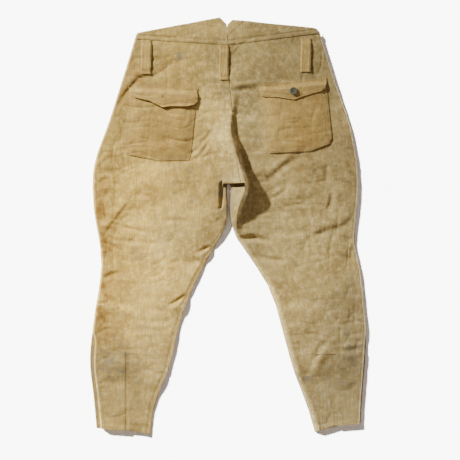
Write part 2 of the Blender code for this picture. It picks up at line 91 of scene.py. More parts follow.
# %% [markdown]
# ## Light, floor and camera
# Cloth shows its folds only under a low light. One small lamp stands low at the upper left and not
# far away, so that every crease has a bright and a dark side and the light falls off to the right.
# An even pale sky fills the shadows. The floor has a lamp of its own from the same side, which
# makes it a plain white without washing out the cloth. The camera looks straight down, as one looks
# at clothes laid out on a table.

# %% Light, floor and camera
LAMP_PLACE = Vector((-1.60, 1.50, 1.25))
LAMP_SIZE = 0.15
LAMP_POWER = 160.0
FLOOR_SUN = 58.0
FLOOR_SUN_SOFTNESS = math.radians(3.5)
SKY_STRENGTH = 0.37
SKY_COLOUR = (1.12, 0.94, 0.86, 1.0)
FLOOR_COLOUR = (0.93, 0.93, 0.925, 1.0)
FLOOR_SIZE = 12.0
FLOOR_DROP = 0.0004  # the cloth's lowest points stand this far above the floor
CAMERA_HEIGHT = 2.5
CAMERA_LENS = 79.9
VIEW_CENTRE = (0.0049, -0.0098)


def lit(name, kind, place):
    """A lamp that shines at the middle of the scene."""
    lamp = bpy.data.objects.new(name, bpy.data.lights.new(name, kind))
    lamp.location = place
    lamp.rotation_euler = place.to_track_quat("Z", "Y").to_euler()
    bpy.context.scene.collection.objects.link(lamp)
    return lamp


key = lit("low_lamp", "AREA", LAMP_PLACE)
key.data.shape = "DISK"
key.data.size = LAMP_SIZE
key.data.energy = LAMP_POWER

sky = bpy.data.worlds.new("pale_sky")
sky.use_nodes = True
sky.node_tree.nodes["Background"].inputs["Color"].default_value = SKY_COLOUR
sky.node_tree.nodes["Background"].inputs["Strength"].default_value = SKY_STRENGTH
bpy.context.scene.world = sky

bpy.ops.mesh.primitive_plane_add(size=FLOOR_SIZE, location=(0.0, 0.0, -FLOOR_DROP))
floor = bpy.context.object
floor.name = "pale_floor"
paint = bpy.data.materials.new("floor_paint")
paint.use_nodes = True
matt = paint.node_tree.nodes["Principled BSDF"].inputs
matt["Base Color"].default_value = FLOOR_COLOUR
matt["Roughness"].default_value = 0.9
matt["Specular IOR Level"].default_value = 0.1
floor.data.materials.append(paint)
floor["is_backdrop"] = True

floor_lamp = lit("floor_sun", "SUN", LAMP_PLACE)
floor_lamp.data.energy = FLOOR_SUN
floor_lamp.data.angle = FLOOR_SUN_SOFTNESS
for lamp, state in ((floor_lamp, "INCLUDE"), (key, "EXCLUDE")):
    lights = bpy.data.collections.new(lamp.name + "_lights")
    lights.objects.link(floor)
    lights.collection_objects[0].light_linking.link_state = state
    lamp.light_linking.receiver_collection = lights

camera = bpy.data.objects.new("camera", bpy.data.cameras.new("camera"))
camera.data.lens = CAMERA_LENS
camera.location = (*VIEW_CENTRE, CAMERA_HEIGHT)
bpy.context.scene.collection.objects.link(camera)
bpy.context.scene.camera = camera

# %% [markdown]
# ## The pattern
# A tailor's pattern is a few seam lines. The panels are drawn here from the same seams as in the
# model, each a smooth curve through a handful of points, in millimetres from the middle of the
# garment. A smooth cubic through the points bends as a cut edge does.

# %% The pattern
MM = 0.001


def smooth(start, end, t):
    """0 before start, 1 past end, and an S between them. start may be the larger."""
    s = np.clip((t - start) / (end - start), 0.0, 1.0)
    return s * s * (3.0 - 2.0 * s)


def lerp(a, b, t):
    """From a at t = 0 to b at t = 1."""
    return a + (b - a) * t


def through(stations):
    """A smooth curve through (value, height) points in mm, as a function of height in metres."""
    values, heights = np.array(stations, float).T * MM
    last = len(heights) - 1
    slopes = np.array([
        (values[min(i + 1, last)] - values[max(i - 1, 0)])
        / (heights[min(i + 1, last)] - heights[max(i - 1, 0)])
        for i in range(last + 1)
    ])

    def at(height):
        y = np.clip(height, heights[0], heights[-1])
        i = np.clip(np.searchsorted(heights, y, side="right") - 1, 0, last - 1)
        step = heights[i + 1] - heights[i]
        t = (y - heights[i]) / step
        return (
            (2 * t**3 - 3 * t**2 + 1) * values[i]
            + (t**3 - 2 * t**2 + t) * slopes[i] * step
            + (3 * t**2 - 2 * t**3) * values[i + 1]
            + (t**3 - t**2) * slopes[i + 1] * step
        )

    return at


OUTER_SEAM = {
    -1: through((
        (-322, -494), (-328, -427), (-338, -327), (-328, -227), (-310, -88),
        (-329, 50), (-327, 149), (-290, 259), (-250, 384), (-224, 470),
    )),
    1: through((
        (324, -482), (328, -419), (335, -330), (338, -264), (333, -200), (324, -113), (309, -34),
        (318, 113), (300, 239), (258, 364), (222, 481),
    )),
}
INNER_SEAM = {
    -1: through((
        (-190, -508), (-178, -429), (-145, -349), (-120, -244), (-88, -154), (-50, -80), (-5, 5),
        (-3, 96),
    )),
    1: through((
        (212, -503), (193, -439), (160, -352), (130, -244), (103, -157), (48, -68), (18, -23),
        (5, 37), (8, 96),
    )),
}
SEAT_SEAM = through(((30, 104), (24, 140), (17, 200), (10, 279), (2, 358), (0, 441)))

CROTCH = 0.0935
SEAT_FOOT = 0.1035
YOKE_SEAM_CENTRE = box["back_yoke_left"][0].y
YOKE_SEAM_OUTER = {-1: 0.455, 1: 0.469}
VENT_TOP = box["vent_flap_left"][1].y + 0.0034
HEM_OUTER = {side: box["vent_flap_" + name][0].y for name, side in SIDE.items()}
HEM_INNER = {side: box["back_panel_" + name][0].y for name, side in SIDE.items()}
VENT_REVEAL = {-1: 0.010, 1: 0.003}
VENT_EASE = 0.04


def back_edge(side, y):
    """Outer edge of the back layer: at the outer seam, and further in beside a calf opening."""
    reveal = VENT_REVEAL[side]
    return OUTER_SEAM[side](y) - side * reveal * smooth(VENT_TOP + VENT_EASE, VENT_TOP, y)


for name, side in SIDE.items():
    low, high = box["front_panel_" + name]
    widest = max(abs(OUTER_SEAM[side](np.linspace(low.y, high.y, 400))))
    print(name, "seam is", round(1000 * (widest - max(abs(low.x), abs(high.x))), 2), "mm off the model")

# %% [markdown]
# ## How the back lies
# The back layer stands a finger's width over the front one, rolls down to the seams at its edges
# and is pinched up into a ridge along the seat seam, because a curved seat cannot lie flat. All of
# that is one height for each point of the plan, which keeps the layers from passing through each
# other and lets every piece on the back ask how high its ground is.

# %% How the back lies
CLOTH = 0.0012
LAYER_GAP = 0.0008
HOLLOW = 0.0095
OUTER_ROLL = 0.0065
INNER_ROLL = 0.016
WAIST_LIFT = 0.0024
RIDGE_LINE = through((
    (22, -20), (20, 16), (29, 56), (39, 82), (41, 99), (37, 117), (29, 141), (18, 179), (5, 230),
    (6, 262), (13, 304), (15, 330),
))
RIDGE_HEIGHT = through((
    (0, -20), (12, 16), (30, 56), (42, 80), (47, 99), (44, 117), (38, 141), (30, 179), (18, 230),
    (10, 270), (4, 304), (0, 330),
))
RIDGE_REACH = through(((45, 104), (58, 140), (66, 180), (62, 240), (50, 330)))
RIDGE_STEEP = 0.015
CROTCH_ROLL = 0.0030
FOLDED_UNDER = 0.90  # share of its height that the fold to the left of the crotch loses
FOLD_EDGE = 0.002


def waist_lift(y):
    """How far the waist stands above the floor, on its own flattened front loops."""
    return WAIST_LIFT * smooth(0.300, 0.355, y)


def roll(inset, width):
    """Share of the full height, from 0 at an edge to 1 past a roll of that width."""
    return np.sin(np.pi / 2 * np.clip(inset / width, 0.0, 1.0))


def ridge(side, x, y):
    """The pinched seat seam: gentle towards the left, steep towards the right."""
    crest = RIDGE_LINE(y)
    strip = np.maximum(crest - INNER_SEAM[1](y) + 0.004, 0.006)
    reach = np.where(y < SEAT_FOOT - 0.002, strip, RIDGE_REACH(y))
    left = np.clip(1.0 - (crest - x) / reach, 0.0, 1.0) ** 1.35
    right = 1.0 - smooth(0.0, 1.0, (x - crest) / RIDGE_STEEP)
    height = RIDGE_HEIGHT(y) * np.where(x < crest, left, right)
    if side < 0:
        height = height * smooth(0.045, SEAT_FOOT, y)
    return height


def folded_under(x, y):
    """Share of the height that is lost in the fold to the left of the crotch."""
    rim = lerp(-0.0150, -0.0100, smooth(0.040, 0.078, y)) - 0.0045 * smooth(0.092, 0.100, y)
    open_end = smooth(rim + FOLD_EDGE, rim - FOLD_EDGE, x)
    start = lerp(-0.0215, -0.0100, smooth(0.098, 0.120, y))
    fold = smooth(start - FOLD_EDGE, start + FOLD_EDGE, x) * open_end
    return FOLDED_UNDER * fold * smooth(0.040, 0.046, y) * smooth(0.121, 0.117, y)


def ground(side, x, y):
    """Top of the back layer before it is creased."""
    outer = side * (back_edge(side, y) - x)
    inner = side * (x - INNER_SEAM[side](y))
    width = lerp(INNER_ROLL, CROTCH_ROLL, smooth(-0.06, 0.02, y))
    at_inner = lerp(roll(inner, width), 1.0, smooth(CROTCH - 0.002, SEAT_FOOT, y))
    belly = 1.0 + 0.12 * smooth(0.0, 0.09, outer)
    rise = HOLLOW * belly * roll(outer, OUTER_ROLL) * at_inner + ridge(side, x, y)
    if side < 0:
        rise = rise * (1.0 - folded_under(x, y))
    return waist_lift(y) + 2 * CLOTH + LAYER_GAP / 2 + rise


for y in (0.26, 0.18, 0.099, 0.03):
    print("ridge at", y, "is", round(1000 * float(ridge(1, RIDGE_LINE(y), y)), 1), "mm high")

# %% [markdown]
# ## Creases
# Cotton duck is stiff, so it keeps every fold it has been pressed into. Each crease is drawn as a
# line on the cloth with a depth and a width, like a pencil line on a pattern: a valley has small
# shoulders on both sides, and a negative depth makes it stand up. Leaning a crease makes one side
# steeper, as where cloth laps over itself. Smooth seeded noise adds the slack between the folds.

# %% Creases
CREASES = {
    -1: (  # depth and half-width in mm, lean towards the right of its run, then its points
        (-1.7, 8, 0.5, (-284, 290), (-262, 318), (-243, 340), (-218, 368), (-188, 376)),
        (2.2, 7, 0.0, (-276, 292), (-243, 332), (-215, 362), (-190, 368)),
        (1.6, 6, 0.0, (-246, 397), (-226, 407)),
        (2.2, 22, 0.0, (-190, 380), (-143, 399), (-100, 411)),
        (1.2, 9, 0.0, (-96, 354), (-63, 367), (-36, 384)),
        (2.4, 5, 0.0, (-74, 190), (-55, 212), (-44, 226), (-24, 234)),
        (2.0, 5, 0.0, (-96, 174), (-66, 190)),
        (2.6, 5, 0.2, (-82, 160), (-57, 184), (-46, 207), (-40, 224)),
        (1.4, 6, 0.0, (-325, 157), (-308, 172), (-302, 188)),
        (1.4, 6, 0.0, (-315, 142), (-300, 158), (-284, 167)),
        (0.9, 5, 0.0, (-316, 127), (-298, 133), (-260, 131)),
        (1.5, 6, 0.0, (-326, 90), (-306, 110), (-286, 117)),
        (1.2, 6, 0.0, (-307, 56), (-298, 76), (-283, 92)),
        (-2.3, 11, 0.6, (-310, -22), (-282, 18), (-263, 40), (-242, 68)),
        (1.5, 4, 0.0, (-325, 19), (-300, 10), (-263, 1), (-230, -9), (-176, -19)),
        (1.7, 5, 0.0, (-317, -27), (-280, -34), (-223, -39), (-160, -45)),
        (3.2, 5, 0.3, (-316, -38), (-293, -43), (-275, -54), (-258, -68)),
        (2.6, 5, 0.0, (-308, -130), (-286, -118), (-260, -114)),
        (3.6, 4.5, 0.0, (-76, -66), (-50, -53), (-24, -43)),
        (-2.4, 9, 0.0, (-80, -76), (-52, -67), (-30, -60)),
        (2.4, 12, 0.0, (-150, -86), (-88, -87), (-46, -76)),
        (0.9, 5, 0.0, (-182, -106), (-121, -109)),
        (1.2, 6, 0.0, (-34, 9), (-10, 19)),
        (3.8, 4.5, 0.2, (-88, -156), (-118, -178), (-148, -196)),
        (-3.2, 10, 0.0, (-98, -176), (-120, -194), (-146, -210)),
        (1.1, 6, 0.0, (-205, -203), (-160, -209), (-122, -205)),
        (1.1, 6, 0.0, (-218, -230), (-170, -236), (-126, -231)),
        (0.9, 6, 0.0, (-224, -250), (-170, -256), (-130, -252)),
        (0.9, 6, 0.0, (-226, -274), (-180, -272), (-136, -268)),
        (3.0, 8, 0.2, (-307, -150), (-282, -178), (-258, -195), (-228, -204)),
        (-2.2, 9, 0.0, (-298, -168), (-268, -200), (-236, -218)),
        (1.4, 5, 0.0, (-243, -308), (-238, -350)),
        (-1.8, 16, 0.0, (-66, 60), (-52, 96), (-46, 150)),
        (-2.4, 5, 0.0, (-26, 106), (-8, 107), (12, 107), (30, 108)),
        (2.0, 24, 0.0, (-200, 70), (-150, 60), (-70, 72)),
        (-1.6, 26, 0.0, (-250, 110), (-180, 120), (-100, 118)),
        (1.6, 20, 0.0, (-240, -350), (-214, -420), (-214, -500)),
    ),
    1: (
        (-3.2, 9, -0.5, (0, 336), (22, 342), (46, 346), (74, 348)),
        (2.8, 7, 0.0, (4, 327), (24, 331), (48, 334), (74, 337)),
        (1.6, 6, 0.0, (30, 217), (47, 219), (70, 211)),
        (1.8, 6, 0.0, (297, 210), (303, 196), (306, 176)),
        (1.8, 6, 0.0, (288, 162), (300, 146), (318, 128)),
        (-1.6, 6, 0.0, (282, 150), (292, 132), (308, 116)),
        (3.0, 8, 0.2, (84, 103), (102, 118), (132, 143), (165, 164), (186, 173)),
        (-2.6, 10, 0.0, (96, 122), (124, 148), (156, 172)),
        (1.6, 7, 0.0, (94, 74), (120, 97), (138, 108), (160, 112)),
        (1.6, 10, 0.0, (145, 60), (170, 66), (200, 69)),
        (2.4, 6, 0.2, (249, 95), (253, 66), (244, 34)),
        (1.6, 6, 0.0, (246, 154), (238, 128), (246, 102)),
        (2.1, 8, 0.3, (318, 40), (303, 18), (280, -2), (252, -9), (228, -15), (203, -28),
         (182, -40)),
        (-2.0, 12, 0.0, (300, 36), (268, 14), (226, 4), (190, -10)),
        (2.0, 9, 0.0, (92, -37), (106, -17), (132, -17), (170, -17), (206, -8)),
        (7.5, 6, 0.2, (12, -22), (30, -31), (50, -31), (62, -28), (80, -34), (98, -38)),
        (-2.6, 9, 0.0, (24, -46), (50, -46), (78, -50)),
        (3.0, 6, 0.0, (52, -66), (82, -77), (108, -83), (148, -84)),
        (-2.0, 11, 0.0, (124, -68), (164, -86), (204, -104)),
        (2.4, 8, 0.3, (316, -18), (305, -50), (298, -94)),
        (1.4, 12, 0.0, (112, -180), (160, -184), (226, -187)),
        (-2.2, 9, 0.3, (256, -278), (230, -310), (213, -340), (198, -376)),
        (1.8, 8, 0.0, (244, -282), (216, -316), (200, -346)),
        (2.6, 6, 0.0, (280, -305), (300, -303), (330, -299)),
        (1.8, 6, 0.0, (290, -323), (313, -332), (322, -354)),
        (2.0, 22, 0.0, (100, 40), (160, 30), (230, 44)),
        (-1.8, 24, 0.0, (90, -120), (160, -136), (250, -150)),
        (1.4, 16, 0.0, (206, -250), (190, -310), (196, -400)),
    ),
}
LATTICE_SIZE = 96
LATTICE = np.random.default_rng(11).random((LATTICE_SIZE, LATTICE_SIZE))
REST_AROUND = {
    side: box["pocket_button_" + name][0].lerp(box["pocket_button_" + name][1], 0.5)
    for name, side in SIDE.items()
}
REST_RADIUS = 0.034  # the cloth lies calm this far round a pocket's button
EDGE_CALM = 0.02
SLACK = (  # width and height of the lumps in metres, how high they are in mm, and a shift
    (0.150, 0.110, 1.9, 0.0), (0.062, 0.046, 1.9, 5.0), (0.027, 0.019, 0.95, 9.0),
    (0.013, 0.009, 0.30, 15.0),
)
PUCKER = ((0.105, 0.034, 3.0, 3.0), (0.056, 0.015, 1.4, 7.0), (0.022, 0.060, 2.0, 13.0))


def noise(x, y, wide, tall, shift=0.0):
    """Smooth noise from 0 to 1, in lumps that are this wide and tall."""
    u = x / wide + 37.2 + shift
    v = y / tall + 41.7 + 1.7 * shift
    i = np.floor(u).astype(int)
    j = np.floor(v).astype(int)
    s = smooth(0.0, 1.0, u - i)
    t = smooth(0.0, 1.0, v - j)
    i, i_next = i % LATTICE_SIZE, (i + 1) % LATTICE_SIZE
    j, j_next = j % LATTICE_SIZE, (j + 1) % LATTICE_SIZE
    low = lerp(LATTICE[i, j], LATTICE[i_next, j], s)
    high = lerp(LATTICE[i, j_next], LATTICE[i_next, j_next], s)
    return lerp(low, high, t)


def eased(points):
    """The line with its corners cut twice, in metres."""
    line = np.array(points, float) * MM
    for _ in range(2):
        cut = [line[0]]
        for a, b in zip(line, line[1:]):
            cut += [lerp(a, b, 0.25), lerp(a, b, 0.75)]
        line = np.array(cut + [line[-1]])
    return line


def crease(x, y, depth, half_width, lean, *points):
    """Height that one crease adds to the cloth."""
    line = eased(points)
    runs = np.hypot(*(line[1:] - line[:-1]).T)
    near = np.full(x.shape, 1.0)
    along = np.zeros(x.shape)
    done = 0.0
    for (ax, ay), (bx, by), run in zip(line, line[1:], runs):
        dx, dy = (bx - ax) / run, (by - ay) / run
        t = np.clip((x - ax) * dx + (y - ay) * dy, 0.0, run)
        away = np.hypot(x - ax - t * dx, y - ay - t * dy)
        right = (x - ax) * dy - (y - ay) * dx > 0
        closer = away < np.abs(near)
        near = np.where(closer, np.where(right, away, -away), near)
        along = np.where(closer, done + t, along)
        done += run
    width = half_width * MM * np.where(near > 0, 1.0 - lean, 1.0 + lean)
    d2 = (near / width) ** 2
    fade = np.sin(np.pi * np.clip(along / done, 0.03, 0.97)) ** 0.7
    return -1.35 * depth * MM * fade * (1.0 - 0.45 * d2) * np.exp(-0.5 * d2)


def slack(x, y):
    """Broad lumps, and small sharp puckers that run across the legs."""
    height = np.zeros(x.shape)
    for wide, tall, size, shift in SLACK:
        height += size * MM * 2.0 * (noise(x, y, wide, tall, shift) - 0.5)
    bent = y + 0.05 * noise(x, y, 0.09, 0.09, 21.0)
    for wide, tall, size, shift in PUCKER:
        line = 1.0 - np.abs(2.0 * noise(x, bent, wide, tall, shift) - 1.0)
        patchy = smooth(0.35, 0.75, noise(x, y, 0.12, 0.12, shift + 2.0))
        height -= size * MM * patchy * line**5
    return height


def surface(side, x, y):
    """Top of the back layer as it lies, creases and all."""
    x, y = np.broadcast_arrays(np.asarray(x, float), np.asarray(y, float))
    inset = side * (back_edge(side, y) - x)
    button = REST_AROUND[side]
    quiet = 1.0 - 0.85 * np.exp(-((x - button.x) ** 2 + (y - button.y) ** 2) / REST_RADIUS**2)
    moved = slack(x, y)
    for one in CREASES[side]:
        moved = moved + crease(x, y, *one)
    within = np.where(y < CROTCH, side * (x - INNER_SEAM[side](y)), 1.0)
    hemmed = lerp(0.25, 1.0, smooth(0.0, EDGE_CALM, inset)) * lerp(
        0.35, 1.0, smooth(0.0, EDGE_CALM, within)
    )
    height = ground(side, x, y) + moved * quiet * hemmed
    lowest = waist_lift(y) + 2 * CLOTH + LAYER_GAP / 2
    return np.maximum(height, lowest)


for name, side in SIDE.items():
    spots = np.linspace(0.05, 0.30, 60) * side
    heights = surface(side, spots, np.full(60, -0.03))
    print(name, "thigh stands", *np.round(1000 * np.array([heights.min(), heights.max()]), 1), "mm")

# %% [markdown]
# ## Finishes
# The cloth was khaki, and work has made it a map: rust where metal lay on it, grey where knees and
# calves met the ground, pale where it rubbed. A few grey weights at the crotch are painted shade in
# the fold and the gap between the legs. A broad map of lighter and darker cloth holds its own uneven
# tone, browner at the waist, and a painted falloff of light, lighter on the left leg and darker on
# the right. The stains are weights painted on the points of the cloth, and the material breaks their
# edges with noise. The plain weave is two rounded thread profiles that pass over and under each
# other every 0.45 mm. It reads a pattern map that follows the cloth, so that it doesn't stretch over
# a fold.

# %% Finishes
RUST = (  # x, y and reach in mm, strength
    (-226, 372, 17, 0.50), (-236, 400, 9, 0.4), (-288, 173, 7, 0.6), (-305, 103, 9, 0.5),
    (-313, 36, 9, 1.0), (-275, 28, 8, 0.5), (-280, -4, 8, 0.5), (-303, -42, 10, 1.0),
    (-300, -64, 8, 0.7), (-285, -119, 10, 0.9), (-303, -139, 7, 0.7), (-312, -147, 6, 0.6),
    (-288, -175, 8, 0.6), (-310, -205, 11, 1.1), (-318, -227, 5, 0.8), (-303, -227, 5, 0.8),
    (-313, -252, 6, 0.6), (-295, -265, 6, 0.5), (-298, -287, 6, 0.6), (170, 138, 9, 0.35),
    (-260, -470, 9, 0.35), (-210, 345, 10, 0.3), (301, 150, 10, 0.3),
    (-305, 60, 34, 0.22), (-285, -40, 38, 0.22), (-290, -140, 34, 0.26), (-300, -240, 32, 0.30),
    (-120, 200, 40, 0.12), (-170, 220, 40, 0.12), (170, 240, 40, 0.12), (150, 120, 34, 0.14),
    (-260, 335, 14, 0.45), (-250, 300, 14, 0.35), (-130, 380, 22, 0.18), (190, 210, 26, 0.16),
)
GRIME_AND_CROTCH_SHADE = (
    (-223, -54, 12, 0.5), (-220, -77, 10, 0.5), (-88, 61, 10, 0.4), (-93, 138, 9, 0.4),
    (-288, -325, 17, 0.9), (-303, -345, 10, 0.8), (-255, -352, 13, 0.7), (-248, -312, 9, 0.6),
    (-260, -287, 9, 0.5), (-223, -382, 9, 0.5), (-223, -405, 8, 0.5), (-203, -247, 10, 0.4),
    (-188, -278, 3, 1.2), (293, -267, 10, 0.5), (243, -272, 8, 0.4), (305, -302, 12, 0.8),
    (303, -325, 9, 0.7), (318, -347, 8, 0.7), (190, -375, 10, 0.5), (240, -365, 12, 0.4),
    (-115, 410, 6, 1.0), (67, 212, 4, 1.0), (156, 27, 3, 0.9), (224, -51, 3, 0.9),
    (195, -101, 3, 0.8),
    (-240, -430, 60, 0.24), (260, -420, 60, 0.24), (-250, -340, 55, 0.18), (270, -340, 50, 0.18),
    # Painted shade: these three darken the crotch fold and the gap between the legs.
    (-20, 80, 18, 0.7), (-6, 40, 12, 0.6), (24, 60, 16, 0.3),
)
FADED = (
    (-168, -54, 16, 0.9), (-13, 222, 22, 0.6), (-120, -20, 60, 0.4), (150, -30, 70, 0.35),
    (-60, 300, 40, 0.35), (60, 260, 40, 0.35),
    (140, 100, 50, 0.3), (-160, -240, 60, 0.3), (170, -240, 60, 0.3),
)
# The cloth's own tone, browner at the waist, and a painted falloff of light: lighter on the left leg, darker
# on the right.
TONE_AND_PAINTED_LIGHT = (  # x and y in mm, then how light the cloth is and how grey, 1 being its plain colour
    (-210, 470, 0.62, 0.90), (-60, 470, 0.62, 0.95), (60, 465, 0.56, 1.10), (190, 465, 0.50, 1.20),
    (-235, 385, 0.58, 0.90), (-130, 390, 0.78, 0.85), (-10, 390, 0.60, 1.10), (110, 390, 0.52, 1.15),
    (230, 370, 0.48, 1.20), (-270, 290, 0.66, 0.80), (-55, 290, 0.90, 0.85), (40, 290, 0.58, 1.20),
    (290, 250, 0.70, 1.20), (-290, 180, 0.78, 0.78), (-50, 180, 0.90, 0.95), (70, 180, 0.68, 1.15),
    (300, 160, 0.62, 1.25), (-300, 90, 1.00, 0.72), (-215, 90, 1.25, 0.72), (-110, 90, 1.00, 0.85),
    (80, 90, 0.74, 1.20), (180, 110, 0.68, 1.15), (270, 80, 0.78, 1.25), (-305, 0, 1.05, 0.72),
    (-215, 10, 1.35, 0.78), (-110, 10, 1.05, 0.85), (-45, -10, 0.85, 1.00), (60, 0, 0.70, 1.20),
    (160, 10, 0.85, 1.15), (280, -10, 0.76, 1.25), (-285, -80, 1.15, 0.72), (-190, -80, 1.70, 0.78),
    (-95, -90, 1.40, 0.90), (130, -80, 0.85, 1.15), (230, -90, 0.98, 1.15), (-290, -160, 1.40, 0.75),
    (-190, -170, 1.70, 0.82), (150, -160, 1.08, 1.10), (290, -170, 0.80, 1.35),
    (-300, -240, 1.05, 0.85), (-230, -240, 1.60, 0.82), (-150, -250, 1.25, 0.92),
    (190, -240, 1.00, 1.20), (310, -250, 0.78, 1.40), (-300, -330, 0.98, 1.00),
    (-200, -330, 1.25, 1.05), (200, -330, 1.00, 1.25), (310, -340, 0.78, 1.35),
    (-290, -450, 1.12, 0.98), (-210, -450, 1.20, 1.00), (250, -450, 1.00, 1.35),
)
TONE_AND_LIGHT_REACH = 0.052
WANDER = 0.04
STAIN_STRENGTH = 1.35


def tone_and_painted_light_at(x, y):
    """A multiplier for the cloth's colour at each point: its own tone and a painted falloff of light."""
    total = np.zeros(x.shape)
    light, grey = np.zeros(x.shape), np.zeros(x.shape)
    wander_x = x + WANDER * (noise(x, y, 0.06, 0.06, 71.0) - 0.5)
    wander_y = y + WANDER * (noise(x, y, 0.06, 0.06, 83.0) - 0.5)
    for wx, wy, how_light, how_grey in TONE_AND_PAINTED_LIGHT:
        away = ((wander_x - wx * MM) ** 2 + (wander_y - wy * MM) ** 2) / TONE_AND_LIGHT_REACH**2
        weight = np.exp(-away) + 1e-6 / (1.0 + away)
        total += weight
        light += weight * how_light
        grey += weight * how_grey
    light, grey = light / total, grey / total
    red = light * grey**-0.12
    return np.stack([red, light * grey**0.08, light * grey, np.ones(x.shape)], axis=-1)


def finish_at(x, y):
    """Weights of rust, of grime with painted shade at the crotch, and of fading, from 0 to 1."""
    weights = []
    for shift, spots in ((31.0, RUST), (47.0, GRIME_AND_CROTCH_SHADE), (63.0, FADED)):
        total = np.zeros(x.shape)
        torn = 0.30 + 1.15 * noise(x, y, 0.011, 0.007, shift)
        for sx, sy, reach, strength in spots:
            away = np.hypot(x - sx * MM, y - sy * MM) / (reach * MM)
            total += STAIN_STRENGTH * strength * np.exp(-((away * torn) ** 2))
        weights.append(np.clip(total, 0.0, 1.0))
    return np.stack(weights + [np.ones(x.shape)], axis=-1)


class Nodes:
    """A material's node tree, with short calls to add and join nodes."""

    def __init__(self, name):
        self.material = bpy.data.materials.new(name)
        self.material.use_nodes = True
        self.tree = self.material.node_tree
        self.shader = self.tree.nodes["Principled BSDF"]

    def set(self, node, key, value):
        """Join an output to a socket, or give the socket a plain value."""
        if isinstance(value, bpy.types.NodeSocket):
            self.tree.links.new(value, node.inputs[key])
        else:
            node.inputs[key].default_value = value

    def add(self, kind, sockets=None, **settings):
        node = self.tree.nodes.new("ShaderNode" + kind)
        for key, value in settings.items():
            setattr(node, key, value)
        for key, value in (sockets or {}).items():
            self.set(node, key, value)
        return node

    def math(self, operation, a, b=0.0):
        return self.add("Math", {0: a, 1: b}, operation=operation).outputs[0]

    def noise(self, vector, scale, detail=4.0, roughness=0.55):
        sockets = {"Vector": vector, "Scale": scale, "Detail": detail, "Roughness": roughness}
        return self.add("TexNoise", sockets).outputs["Fac"]

    def stretch(self, vector, scale):
        return self.add("Mapping", {"Vector": vector, "Scale": scale}).outputs[0]

    def step(self, value, low, high):
        """0 below low, 1 above high."""
        node = self.add("MapRange", {"Value": value, "From Min": low, "From Max": high})
        return node.outputs["Result"]

    def span(self, value, start, end):
        """From start to end, as the value goes from 0 to 1."""
        node = self.add("MapRange", {"Value": value, "To Min": start, "To Max": end})
        return node.outputs["Result"]

    def bump(self, height, distance, strength, **under):
        """A normal for small relief of this depth."""
        sockets = {"Height": height, "Distance": distance, "Strength": strength, **under}
        return self.add("Bump", sockets).outputs["Normal"]

    def finish(self, sockets):
        """Join or set the shader's sockets, and give the material."""
        for key, value in sockets.items():
            self.set(self.shader, key, value)
        return self.material

    def mix(self, factor, a, b, blend="MIX"):
        node = self.add("Mix", data_type="RGBA", blend_type=blend)
        self.set(node, 0, factor)
        self.set(node, 6, a)
        self.set(node, 7, b)
        return node.outputs[2]


THREAD_PITCH = 0.0009
WEAVE_DEPTH = 0.00016
WRINKLE_DEPTH = 0.0018
PITTED = 0.0002
TWIST = 0.0001
RUST_BROWN = (0.235, 0.108, 0.012, 1.0)
# Colour of grime, also used as painted shade at the crotch.
GRIME_AND_SHADE_GREY = (0.125, 0.112, 0.080, 1.0)


